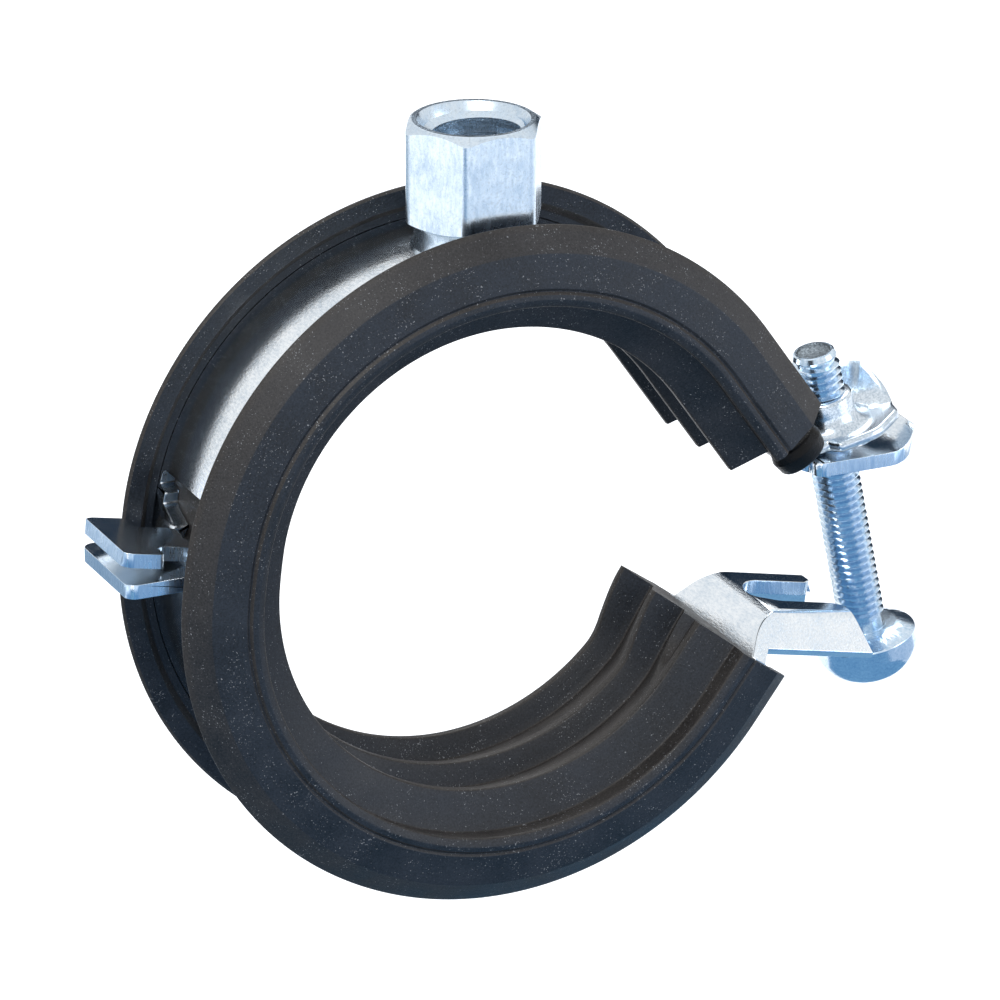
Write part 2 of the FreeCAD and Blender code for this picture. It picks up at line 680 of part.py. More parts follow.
def make_retaining_ring():
    """Band round the neck."""
    gap = fit_clearance / 2
    y_in = upper_neck_width / 2 + gap
    n_in = strap_thickness / 2 + gap
    y_out, n_out = y_in + ring_band_thickness, n_in + ring_band_thickness
    outer = [(-y_out, -n_out), (y_out, -n_out), (y_out, n_out), (-y_out, n_out)]
    inner = [(-y_in, -n_in), (y_in, -n_in), (y_in, n_in), (-y_in, n_in)]
    radial = direction(upper_end_angle)
    tangent = direction(upper_end_angle - 90)
    start = upper_end_point(ring_at - ring_band_width / 2)
    place = lambda y, n: start + radial * n + V(0, y, 0)
    band = prism(outer, [n_out - 0.05] * 4, place, tangent * ring_band_width)
    hole = prism(inner, [0.05] * 4, place, tangent * ring_band_width)
    return band.cut(hole)


def main():
    os.makedirs("parts", exist_ok=True)
    lining_upper, lining_lower = make_linings()
    pieces = {
        "upper_strap": make_upper_strap(),
        "lower_strap": make_lower_strap(),
        "connection_nut": make_connection_nut(),
        "lining_upper": lining_upper,
        "lining_lower": lining_lower,
        "locking_screw": make_locking_screw(),
        "nut_plate": make_nut_plate(),
        "retaining_ring": make_retaining_ring(),
    }
    print("hinge", pivot, "plate pivot", plate_pivot())
    for name, shape in pieces.items():
        if len(shape.Solids) == 1:
            shape = shape.Solids[0]
        shape.exportStep("parts/" + name + ".step")
        box = shape.BoundBox
        print(name, shape.isValid(), len(shape.Solids), round(shape.Volume, 1),
              [round(v, 2) for v in (box.XMin, box.XMax, box.YMin, box.YMax, box.ZMin, box.ZMax)])


main()
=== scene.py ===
"""Looks of the cushioned pipe clamp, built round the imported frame. Sizes are in millimetres, as in the source."""

import logging
import math
from contextlib import contextmanager
from dataclasses import dataclass, field
from enum import Enum
from typing import Any, Callable, Iterable, Iterator, Sequence

import bmesh
import bpy
from mathutils import Matrix, Vector


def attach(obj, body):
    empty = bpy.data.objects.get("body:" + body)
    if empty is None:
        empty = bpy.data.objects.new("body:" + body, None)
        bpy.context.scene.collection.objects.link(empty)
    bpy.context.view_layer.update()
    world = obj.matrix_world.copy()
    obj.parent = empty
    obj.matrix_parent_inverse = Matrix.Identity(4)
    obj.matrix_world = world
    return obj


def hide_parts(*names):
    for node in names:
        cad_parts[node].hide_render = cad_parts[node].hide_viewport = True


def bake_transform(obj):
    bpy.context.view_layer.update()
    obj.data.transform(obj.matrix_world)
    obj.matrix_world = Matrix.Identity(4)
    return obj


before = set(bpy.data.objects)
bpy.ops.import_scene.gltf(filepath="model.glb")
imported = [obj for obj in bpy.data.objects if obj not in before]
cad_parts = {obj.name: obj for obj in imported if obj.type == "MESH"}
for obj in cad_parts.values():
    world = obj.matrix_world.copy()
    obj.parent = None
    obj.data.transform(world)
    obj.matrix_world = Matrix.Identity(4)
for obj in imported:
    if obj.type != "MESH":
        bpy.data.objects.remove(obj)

MM = 0.001
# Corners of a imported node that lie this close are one
JOIN_MM = 0.002
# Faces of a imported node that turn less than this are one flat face
FLAT_DEG = 0.3
# A rounding is at most this part, one in so many, of the shortest edge that meets it
EDGE_ROOM = 3.5
log = logging.getLogger("clamp")

Colour = tuple[float, float, float, float]
Point = tuple[float, float]
Place = tuple[float, float, float]


def linear(code: str) -> Colour:
    """Turn an sRGB hex colour into linear red, green, blue and alpha.

    Args:
        code: six hex digits.

    Returns:
        The linear colour with full alpha.
    """
    parts = [int(code[i:i + 2], 16) / 255 for i in (0, 2, 4)]
    red, green, blue = (p / 12.92 if p <= 0.04045 else ((p + 0.055) / 1.055) ** 2.4 for p in parts)
    return (red, green, blue, 1.0)


def add_node(tree: bpy.types.NodeTree, kind: str, inputs: dict[Any, Any] | None = None,
             **settings: Any) -> bpy.types.Node:
    """Add a node with its settings and its inputs.

    Args:
        tree: the tree that gets the node.
        kind: the node's Blender type name.
        inputs: values, or output sockets to link, by input name or number.
        settings: the node's own properties.

    Returns:
        The new node.
    """
    node = tree.nodes.new(kind)
    for name, value in settings.items():
        setattr(node, name, value)
    for name, value in (inputs or {}).items():
        if isinstance(value, bpy.types.NodeSocket):
            tree.links.new(value, node.inputs[name])
        else:
            node.inputs[name].default_value = value
    return node


def new_material(name: str) -> tuple[bpy.types.Material, bpy.types.NodeTree]:
    """Make an empty node material.

    Args:
        name: the material's name.

    Returns:
        The material and its tree.
    """
    material = bpy.data.materials.new(name)
    material.use_nodes = True
    material.node_tree.nodes.clear()
    return material, material.node_tree


# Finishes


class ZincSurface(Enum):
    """How the steel under the zinc was made."""

    ROLLED = "rolled strip"
    SHEARED = "sheared edge"
    DRAWN_BAR = "drawn bar"
    COLD_HEADED = "cold headed wire"
    CROPPED = "cropped wire end"
    PRESSED = "pressed strip"


@dataclass(frozen=True)
class ElectroplatedZinc:
    """Blue-passivated electroplated zinc on mild steel: a bright satin that picks up white and blue.

    The plating follows the steel under it, so each surface keeps its rolling, shearing or turning marks.
    """

    surface: ZincSurface
    bright: str = "e4ebf3"
    dull: str = "9fb4c8"
    grain_mm: float = 0.35
    mottle_mm: float = 3.2
    stretch: Place = (1.0, 1.0, 1.0)
    roughness: Point = (0.2, 0.4)
    bump_mm: float = 0.012
    bump_strength: float = 0.5
    pits: float = 0.0
    pit_mm: float = 0.28
    pit_colour: str = "3d4650"

    def material(self) -> bpy.types.Material:
        """Build the material.

        Returns:
            The finished material.
        """
        material, tree = new_material("zinc plated steel, " + self.surface.value)
        place = add_node(tree, "ShaderNodeTexCoord").outputs["Object"]
        along = add_node(tree, "ShaderNodeMapping", {"Vector": place, "Scale": self.stretch}).outputs[0]
        grain = add_node(tree, "ShaderNodeTexNoise", {
            "Vector": along, "Scale": 1 / (self.grain_mm * MM), "Detail": 4.0, "Roughness": 0.6}).outputs[0]
        mottle = add_node(tree, "ShaderNodeTexNoise", {
            "Vector": place, "Scale": 1 / (self.mottle_mm * MM), "Detail": 5.0, "Roughness": 0.62}).outputs[0]
        both = add_node(tree, "ShaderNodeMix", {"Factor": 0.45, "A": grain, "B": mottle}).outputs[0]
        share = add_node(tree, "ShaderNodeMapRange", {"Value": both, "From Min": 0.32, "From Max": 0.6}).outputs[0]
        colour = add_node(tree, "ShaderNodeMix", {
            "Factor": share, "A": linear(self.dull), "B": linear(self.bright)}, data_type="RGBA").outputs[2]
        low, high = self.roughness
        rough = add_node(tree, "ShaderNodeMapRange", {
            "Value": both, "From Min": 0.3, "From Max": 0.65, "To Min": high, "To Max": low}).outputs[0]
        height = grain
        if self.pits > 0:
            speck = add_node(tree, "ShaderNodeTexNoise", {
                "Vector": place, "Scale": 1 / (self.pit_mm * MM), "Detail": 2.0}).outputs[0]
            pit = add_node(tree, "ShaderNodeMapRange", {
                "Value": speck, "From Min": 0.36, "From Max": 0.46, "To Min": 1.0, "To Max": 0.0}).outputs[0]
            depth = add_node(tree, "ShaderNodeMath", {0: pit, 1: self.pits}, operation="MULTIPLY").outputs[0]
            colour = add_node(tree, "ShaderNodeMix", {
                "Factor": depth, "A": colour, "B": linear(self.pit_colour)}, data_type="RGBA").outputs[2]
            height = add_node(tree, "ShaderNodeMath", {0: grain, 1: depth}, operation="SUBTRACT").outputs[0]
        normal = add_node(tree, "ShaderNodeBump", {
            "Height": height, "Strength": self.bump_strength, "Distance": self.bump_mm * MM}).outputs[0]
        shader = add_node(tree, "ShaderNodeBsdfPrincipled", {
            "Base Color": colour, "Metallic": 1.0, "Roughness": rough, "Normal": normal})
        add_node(tree, "ShaderNodeOutputMaterial", {0: shader.outputs[0]})
        return material


@dataclass(frozen=True)
class MouldedRubber:
    """EPDM rubber, extruded and cured: near-black and matt, with fine grain, chalky specks and die lines.

    Its sides stay a cool charcoal, and the faces that look out or in are the rubber's own warmer grey, lightened by a
    painted highlight as where the lips' outer bevels catch light.
    """

    name: str = "EPDM rubber, extruded"
    cool: tuple[str, str] = ("10151c", "2a313b")
    # Faces that look out or in: the rubber's warmer tone, lightened by a painted highlight
    warm_with_highlight: tuple[str, str] = ("1c1a1a", "3b3836")
    speck: str = "a3a6aa"
    speck_mm: float = 0.17
    speck_level: float = 0.66
    patch_mm: float = 3.0
    line_mm: float = 0.5
    grain_mm: float = 0.2
    cloud_mm: float = 5.0
    bump_mm: float = 0.07
    roughness: Point = (0.42, 0.62)
    specular: float = 0.4
    follows_path: bool = True

    def material(self) -> bpy.types.Material:
        """Build the material.

        Returns:
            The finished material.
        """
        material, tree = new_material(self.name)
        spots = add_node(tree, "ShaderNodeTexCoord").outputs
        place = spots["Object"]
        grain = add_node(tree, "ShaderNodeTexNoise", {
            "Vector": place, "Scale": 1 / (self.grain_mm * MM), "Detail": 3.0, "Roughness": 0.65}).outputs[0]
        cloud = add_node(tree, "ShaderNodeTexNoise", {
            "Vector": place, "Scale": 1 / (self.cloud_mm * MM), "Detail": 4.0, "Roughness": 0.55}).outputs[0]
        tone = add_node(tree, "ShaderNodeMix", {"Factor": 0.35, "A": grain, "B": cloud}).outputs[0]
        share = add_node(tree, "ShaderNodeMapRange", {"Value": tone, "From Min": 0.36, "From Max": 0.64}).outputs[0]
        # The turn from side to outside is read from the piece's own faces, and the faces that look out or in get a
        # painted highlight in their lighter warm tone
        facing = add_node(tree, "ShaderNodeSeparateXYZ", {0: spots["Normal"]}).outputs["Y"]
        sideways = add_node(tree, "ShaderNodeMath", {0: facing}, operation="ABSOLUTE").outputs[0]
        unhighlit_side_share = add_node(tree, "ShaderNodeMapRange", {
            "Value": sideways, "From Min": 0.7, "From Max": 0.95}).outputs[0]
        tones = [add_node(tree, "ShaderNodeMix", {
            "Factor": share, "A": linear(dark), "B": linear(pale)}, data_type="RGBA").outputs[2]
            for dark, pale in (self.warm_with_highlight, self.cool)]
        colour = add_node(tree, "ShaderNodeMix", {
            "Factor": unhighlit_side_share, "A": tones[0], "B": tones[1]}, data_type="RGBA").outputs[2]
        # Chalky dust: the peaks of a fine noise, thicker in some patches, so that the specks are crooked
        fine = add_node(tree, "ShaderNodeTexNoise", {
            "Vector": place, "Scale": 1 / (self.speck_mm * MM), "Detail": 1.0, "Roughness": 0.6,
            "Distortion": 0.5}).outputs[0]
        patch = add_node(tree, "ShaderNodeTexNoise", {
            "Vector": place, "Scale": 1 / (self.patch_mm * MM), "Detail": 2.0}).outputs[0]
        peak = add_node(tree, "ShaderNodeMix", {"Factor": 0.2, "A": fine, "B": patch}).outputs[0]
        dust = add_node(tree, "ShaderNodeMapRange", {
            "Value": peak, "From Min": self.speck_level, "From Max": self.speck_level + 0.05,
            "To Max": 0.7}).outputs[0]
        colour = add_node(tree, "ShaderNodeMix", {
            "Factor": dust, "A": colour, "B": linear(self.speck)}, data_type="RGBA").outputs[2]
        height = grain
        if self.follows_path:
            # Die lines run round the clamp: the section's own length is the fast coordinate
            lengths = add_node(tree, "ShaderNodeAttribute", attribute_name="lining_lengths").outputs["Vector"]
            slow = add_node(tree, "ShaderNodeMapping", {
                "Vector": lengths, "Scale": (0.02, 1.0, 1.0)}).outputs[0]
            lines = add_node(tree, "ShaderNodeTexNoise", {
                "Vector": slow, "Scale": 1 / (self.line_mm * MM), "Detail": 2.0}).outputs[0]
            height = add_node(tree, "ShaderNodeMix", {"Factor": 0.4, "A": grain, "B": lines}).outputs[0]
        low, high = self.roughness
        rough = add_node(tree, "ShaderNodeMapRange", {
            "Value": cloud, "From Min": 0.3, "From Max": 0.7, "To Min": low, "To Max": high}).outputs[0]
        normal = add_node(tree, "ShaderNodeBump", {
            "Height": height, "Strength": 0.8, "Distance": self.bump_mm * MM}).outputs[0]
        shader = add_node(tree, "ShaderNodeBsdfPrincipled", {
            "Base Color": colour, "Roughness": rough, "IOR": 1.45, "Specular IOR Level": self.specular,
            "Normal": normal})
        add_node(tree, "ShaderNodeOutputMaterial", {0: shader.outputs[0]})
        return material


ROLLED_ZINC = ElectroplatedZinc(ZincSurface.ROLLED, bright="eef3f7", dull="c9d6e2", grain_mm=0.24,
                                stretch=(1.0, 0.35, 1.0), roughness=(0.1, 0.22), bump_mm=0.018,
                                bump_strength=0.8)
SHEARED_ZINC = ElectroplatedZinc(ZincSurface.SHEARED, bright="d0e2f3", dull="8fb0d0", grain_mm=0.28,
                                 stretch=(1.0, 1.0, 0.12), bump_mm=0.02, bump_strength=0.6)
BAR_ZINC = ElectroplatedZinc(ZincSurface.DRAWN_BAR, bright="d6e2ec", dull="b7cadc", grain_mm=0.4,
                             stretch=(1.0, 1.0, 0.3), roughness=(0.18, 0.34), pits=0.12)
HEADED_ZINC = ElectroplatedZinc(ZincSurface.COLD_HEADED, bright="dde9f4", dull="aac6de", grain_mm=0.3,
                                roughness=(0.12, 0.26), bump_strength=0.25)
CROPPED_ZINC = ElectroplatedZinc(ZincSurface.CROPPED, bright="7d878f", dull="14191e", grain_mm=0.14,
                                 mottle_mm=0.25, roughness=(0.4, 0.6), bump_mm=0.05, bump_strength=1.0)
PRESSED_ZINC = ElectroplatedZinc(ZincSurface.PRESSED, bright="dfe8f0", dull="93a6b8", grain_mm=0.22,
                                 roughness=(0.14, 0.3))
LINING_RUBBER = MouldedRubber()
RING_RUBBER = MouldedRubber(name="rubber ring, moulded", cool=("060608", "0e0f11"), warm_with_highlight=("060607", "0e0e10"),
                            speck="4a4e55", speck_level=0.7, roughness=(0.22, 0.34), specular=0.2,
                            follows_path=False)


# Meshes


def in_scene(name: str, data: bpy.types.ID) -> bpy.types.Object:
    """Put a new object in the scene.

    Args:
        name: the object's name.
        data: its mesh, lamp or camera.

    Returns:
        The object.
    """
    made = bpy.data.objects.new(name, data)
    bpy.context.scene.collection.objects.link(made)
    return made


@contextmanager
def edited(mesh: bpy.types.Mesh) -> Iterator[bmesh.types.BMesh]:
    """Open a mesh for editing, and write it back at the end.

    Args:
        mesh: the mesh.

    Returns:
        The editable copy.
    """
    work = bmesh.new()
    work.from_mesh(mesh)
    yield work
    work.to_mesh(mesh)
    work.free()


def mesh_object(name: str, points: Iterable[Sequence[float]], faces: Iterable[Sequence[int]] = (),
                edges: Iterable[Sequence[int]] = ()) -> bpy.types.Object:
    """Make an object from points in millimetres.

    Args:
        name: the object's name.
        points: the corners.
        faces: the corners' numbers for each face.
        edges: the corners' numbers for each loose edge.

    Returns:
        The object, in the scene.
    """
    mesh = bpy.data.meshes.new(name)
    mesh.from_pydata([Vector(p) * MM for p in points], list(edges), list(faces))
    return in_scene(name, mesh)


def copy_of_node(node: str, name: str) -> bpy.types.Object:
    """Copy a frame node as clean joined faces.

    Args:
        node: the node to copy.
        name: the copy's name.

    Returns:
        The copy, which rides on nothing yet.
    """
    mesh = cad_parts[node].data.copy()
    mesh.name = name
    with edited(mesh) as work:
        bmesh.ops.remove_doubles(work, verts=work.verts, dist=JOIN_MM * MM)
        bmesh.ops.dissolve_limit(work, angle_limit=math.radians(FLAT_DEG), verts=work.verts, edges=work.edges)
    mesh.materials.clear()
    return in_scene(name, mesh)


def smooth_by_angle(made: bpy.types.Object, degrees: float) -> None:
    """Shade a mesh smooth but for its sharp edges.

    Args:
        made: the piece.
        degrees: the least angle between faces that stays a sharp edge.
    """
    made.data.shade_smooth()
    limit = math.radians(degrees)
    with edited(made.data) as work:
        for edge in work.edges:
            edge.smooth = len(edge.link_faces) == 2 and edge.calc_face_angle(0.0) < limit


def soften_edges(made: bpy.types.Object, width_mm: float, degrees: float = 40.0, segments: int = 2) -> None:
    """Round the sharp edges of a mesh, less where the edges beside them are short, and keep broad faces flat.

    Args:
        made: the piece.
        width_mm: the widest rounding.
        degrees: the least angle between faces that counts as an edge.
        segments: the steps of each rounding.
    """
    with edited(made.data) as work:
        weights = work.edges.layers.float.new("bevel_weight_edge")
        for edge in work.edges:
            if len(edge.link_faces) == 2 and edge.calc_face_angle(0.0) > math.radians(degrees):
                shortest = min(near.calc_length() for end in edge.verts for near in end.link_edges)
                edge[weights] = min(1.0, shortest / (EDGE_ROOM * width_mm * MM))
    bevel = made.modifiers.new("edges", "BEVEL")
    bevel.width = width_mm * MM
    bevel.segments = segments
    bevel.limit_method = "WEIGHT"
    bevel.use_clamp_overlap = False
    baked(made)
    smooth_by_angle(made, 50)
    weighted = made.modifiers.new("normals", "WEIGHTED_NORMAL")
    weighted.keep_sharp = True
    baked(made)


def dress_by_face(made: bpy.types.Object, main: bpy.types.Material, other: bpy.types.Material,
                  is_other: Callable[[bpy.types.MeshPolygon], bool]) -> None:
    """Give a piece two materials, by where its faces lie and point.

    Args:
        made: the piece.
        main: the material of most faces.
        other: the material of the rest.
        is_other: tells whether a face gets the other one.
    """
    made.data.materials.append(main)
    made.data.materials.append(other)
    for face in made.data.polygons:
        face.material_index = 1 if is_other(face) else 0


def baked(made: bpy.types.Object) -> bpy.types.Object:
    """Replace an object's mesh by its evaluated one and drop its modifiers.

    Args:
        made: the object with live modifiers.

    Returns:
        The same object with a plain mesh.
    """
    bpy.context.view_layer.update()
    evaluated = made.evaluated_get(bpy.context.evaluated_depsgraph_get())
    mesh = bpy.data.meshes.new_from_object(evaluated)
    made.modifiers.clear()
    made.data = mesh
    mesh.name = made.name
    return made


def join(name: str, parts: Sequence[bpy.types.Object]) -> bpy.types.Object:
    """Join plain meshes into one object.

    Args:
        name: the joined object's name.
        parts: the objects, whose materials are kept.

    Returns:
        The joined object.
    """
    first = parts[0]
    with bpy.context.temp_override(active_object=first, selected_editable_objects=list(parts),
                                   selected_objects=list(parts), object=first):
        bpy.ops.object.join()
    first.name = name
    first.data.name = name
    return first


def rounded_outline(corners: Sequence[Point], radii: Sequence[float], steps: int = 4) -> list[Point]:
    """Round the corners of a closed outline.

    Args:
        corners: the outline's sharp corners.
        radii: each corner's radius, 0 for a sharp one.
        steps: how many straight steps each arc has.

    Returns:
        The outline's points, in the same order.
    """
    points: list[Point] = []
    count = len(corners)
    for i in range(count):
        here = Vector(corners[i])
        before = (Vector(corners[i - 1]) - here).normalized()
        after = (Vector(corners[(i + 1) % count]) - here).normalized()
        if radii[i] <= 0:
            points.append((here.x, here.y))
            continue
        half = before.angle(after) / 2
        reach = radii[i] / math.tan(half)
        centre = here + (before + after).normalized() * (radii[i] / math.sin(half))
        first, last = here + before * reach - centre, here + after * reach - centre
        turn = first.angle_signed(last)
        for k in range(steps + 1):
            spot = centre + Matrix.Rotation(-turn * k / steps, 2) @ first
            points.append((spot.x, spot.y))
    return points


def divided(points: Sequence[Point], longest: float) -> list[Point]:
    """Divide the long sides of a closed outline.

    Args:
        points: the outline.
        longest: the longest side that stays whole.

    Returns:
        The outline with more points.
    """
    result: list[Point] = []
    for i, here in enumerate(points):
        following = points[(i + 1) % len(points)]
        pieces = max(1, math.ceil(math.dist(here, following) / longest))
        result += [tuple(a + (b - a) * k / pieces for a, b in zip(here, following)) for k in range(pieces)]
    return result


def closed_loft(name: str, columns: Sequence[Sequence[Sequence[float]]], degrees: float) -> bpy.types.Object:
    """Join closed loops of equal length, one after the other, into a ring-shaped solid.

    Args:
        name: the object's name.
        columns: the loops' points in millimetres.
        degrees: the least angle that stays a sharp edge.

    Returns:
        The solid with outward faces.
    """
    count, rows = len(columns), len(columns[0])
    faces = [(k * rows + j, k * rows + (j + 1) % rows, (k + 1) % count * rows + (j + 1) % rows,
              (k + 1) % count * rows + j) for k in range(count) for j in range(rows)]
    made = mesh_object(name, [point for column in columns for point in column], faces)
    with edited(made.data) as work:
        bmesh.ops.recalc_face_normals(work, faces=work.faces)
    smooth_by_angle(made, degrees)
    return made


def lathe(name: str, line: Sequence[Point], steps: int) -> bpy.types.Object:
    """Turn a line of radius and height round the Z axis.

    Args:
        name: the object's name.
        line: the points, from the axis to the axis.
        steps: how many steps go round.

    Returns:
        The turned solid with outward faces.
    """
    work = bmesh.new()
    rings = []
    for radius, height in line:
        if radius == 0:
            rings.append([work.verts.new((0, 0, height * MM))])
            continue
        rings.append([work.verts.new((radius * MM * math.cos(2 * math.pi * k / steps),
                                      radius * MM * math.sin(2 * math.pi * k / steps), height * MM))
                      for k in range(steps)])
    for low, high in zip(rings, rings[1:]):
        for k in range(steps):
            after = (k + 1) % steps
            if len(low) == 1:
                work.faces.new((low[0], high[k], high[after]))
            elif len(high) == 1:
                work.faces.new((low[k], high[0], low[after]))
            else:
                work.faces.new((low[k], high[k], high[after], low[after]))
    bmesh.ops.recalc_face_normals(work, faces=work.faces)
    mesh = bpy.data.meshes.new(name)
    work.to_mesh(mesh)
    work.free()
    return in_scene(name, mesh)


class ShapeTree:
    """A Geometry Nodes tree in millimetres with named sizes, ended by its instances made real and its material."""

    def __init__(self, name: str, sizes: dict[str, float]) -> None:
        """Start a tree.

        Args:
            name: the tree's name.
            sizes: each named input with its value.
        """
        self.tree = bpy.data.node_groups.new(name, "GeometryNodeTree")
        self.values = dict(sizes)
        face = self.tree.interface
        face.new_socket("Geometry", in_out="INPUT", socket_type="NodeSocketGeometry")
        face.new_socket("Geometry", in_out="OUTPUT", socket_type="NodeSocketGeometry")
        face.new_socket("Material", in_out="INPUT", socket_type="NodeSocketMaterial")
        for key in sizes:
            face.new_socket(key, in_out="INPUT", socket_type="NodeSocketFloat")
        self.inputs = add_node(self.tree, "NodeGroupInput").outputs

    def add(self, kind: str, inputs: dict[Any, Any] | None = None, output: Any = 0,
            **settings: Any) -> bpy.types.NodeSocket:
        """Add a node and return one of its outputs.

        Args:
            kind: the node's type name.
            inputs: values or sockets by input name or number.
            output: the wanted output's name or number.
            settings: the node's own properties.

        Returns:
            The output socket.
        """
        return add_node(self.tree, kind, inputs, **settings).outputs[output]

    def finish(self, geometry: bpy.types.NodeSocket) -> None:
        """End the tree: metres, instances made real, material set.

        Args:
            geometry: the shape in millimetres.
        """
        metres = self.add("GeometryNodeTransform", {"Geometry": geometry, "Scale": (MM, MM, MM)})
        real = self.add("GeometryNodeRealizeInstances", {0: metres})
        dressed = self.add("GeometryNodeSetMaterial", {"Geometry": real, "Material": self.inputs["Material"]})
        add_node(self.tree, "NodeGroupOutput", {0: dressed})

    def build(self, made: bpy.types.Object, material: bpy.types.Material) -> bpy.types.Object:
        """Run the tree on an object and keep its result as a plain mesh.

        Args:
            made: the object whose mesh the tree starts from.
            material: the finish.

        Returns:
            The same object with the result.
        """
        modifier = made.modifiers.new("shape", "NODES")
        modifier.node_group = self.tree
        for item in self.tree.interface.items_tree:
            if item.in_out == "INPUT" and item.name in self.values:
                modifier[item.identifier] = float(self.values[item.name])
            elif item.name == "Material":
                modifier[item.identifier] = material
        return baked(made)


# Sub-assemblies


@dataclass
class Thread:
    """One turn of a screw thread repeated along the Z axis, outward or inward from its root."""

    pitch: float
    turns: float
    root: float
    crest: float
    start: float
    run_out: float = 1.0
    steps: int = 48
    foot_share: float = 0.40
    crest_share: float = 0.07
    sink: float = 0.15
    least: float = 0.02

    def build(self, name: str, material: bpy.types.Material) -> bpy.types.Object:
        """Sweep the thread's ridge along its helix.

        Args:
            name: the object's name.
            material: the finish.

        Returns:
            The ridge as a plain mesh round the Z axis.
        """
        shape = ShapeTree(name, {
            "Pitch": self.pitch, "Turns": self.turns, "Root Radius": self.root, "Crest Radius": self.crest,
            "Start": self.start, "Run Out": self.run_out})
        size, add = shape.inputs, shape.add
        height = add("ShaderNodeMath", {0: size["Pitch"], 1: size["Turns"]}, operation="MULTIPLY")
        helix = add("GeometryNodeCurveSpiral", {
            "Resolution": self.steps, "Rotations": size["Turns"], "Start Radius": size["Root Radius"],
            "End Radius": size["Root Radius"], "Height": height})
        upright = add("GeometryNodeSetCurveNormal", {"Curve": helix}, mode="Z_UP")
        reach = add("ShaderNodeMath", {0: size["Root Radius"], 1: size["Crest Radius"]}, operation="SUBTRACT")
        sunk = add("ShaderNodeMath", {0: reach, 1: -self.sink}, operation="MULTIPLY")
        corners = []
        for share, way in ((self.foot_share, sunk), (self.crest_share, reach)):
            half = add("ShaderNodeMath", {0: size["Pitch"], 1: share}, operation="MULTIPLY")
            low = add("ShaderNodeMath", {0: half, 1: -1.0}, operation="MULTIPLY")
            corners.append([add("ShaderNodeCombineXYZ", {"X": way, "Y": y}) for y in (low, half)])
        profile = add("GeometryNodeCurvePrimitiveQuadrilateral", {
            "Point 1": corners[0][0], "Point 2": corners[1][0], "Point 3": corners[1][1],
            "Point 4": corners[0][1]}, mode="POINTS")
        # The ridge fades out over its last turns at both ends
        share = add("GeometryNodeSplineParameter", output="Factor")
        turn = add("ShaderNodeMath", {0: share, 1: size["Turns"]}, operation="MULTIPLY")
        back = add("ShaderNodeMath", {0: size["Turns"], 1: turn}, operation="SUBTRACT")
        nearest = add("ShaderNodeMath", {0: turn, 1: back}, operation="MINIMUM")
        fade = add("ShaderNodeMapRange", {
            "Value": nearest, "From Max": size["Run Out"], "To Min": self.least}, interpolation_type="SMOOTHSTEP")
        ridge = add("GeometryNodeCurveToMesh", {
            "Curve": upright, "Profile Curve": profile, "Scale": fade, "Fill Caps": True})
        place = add("ShaderNodeCombineXYZ", {"Z": size["Start"]})
        shape.finish(add("GeometryNodeTransform", {"Geometry": ridge, "Translation": place}))
        made = shape.build(mesh_object(name, []), material)
        smooth_by_angle(made, 30)
        return made


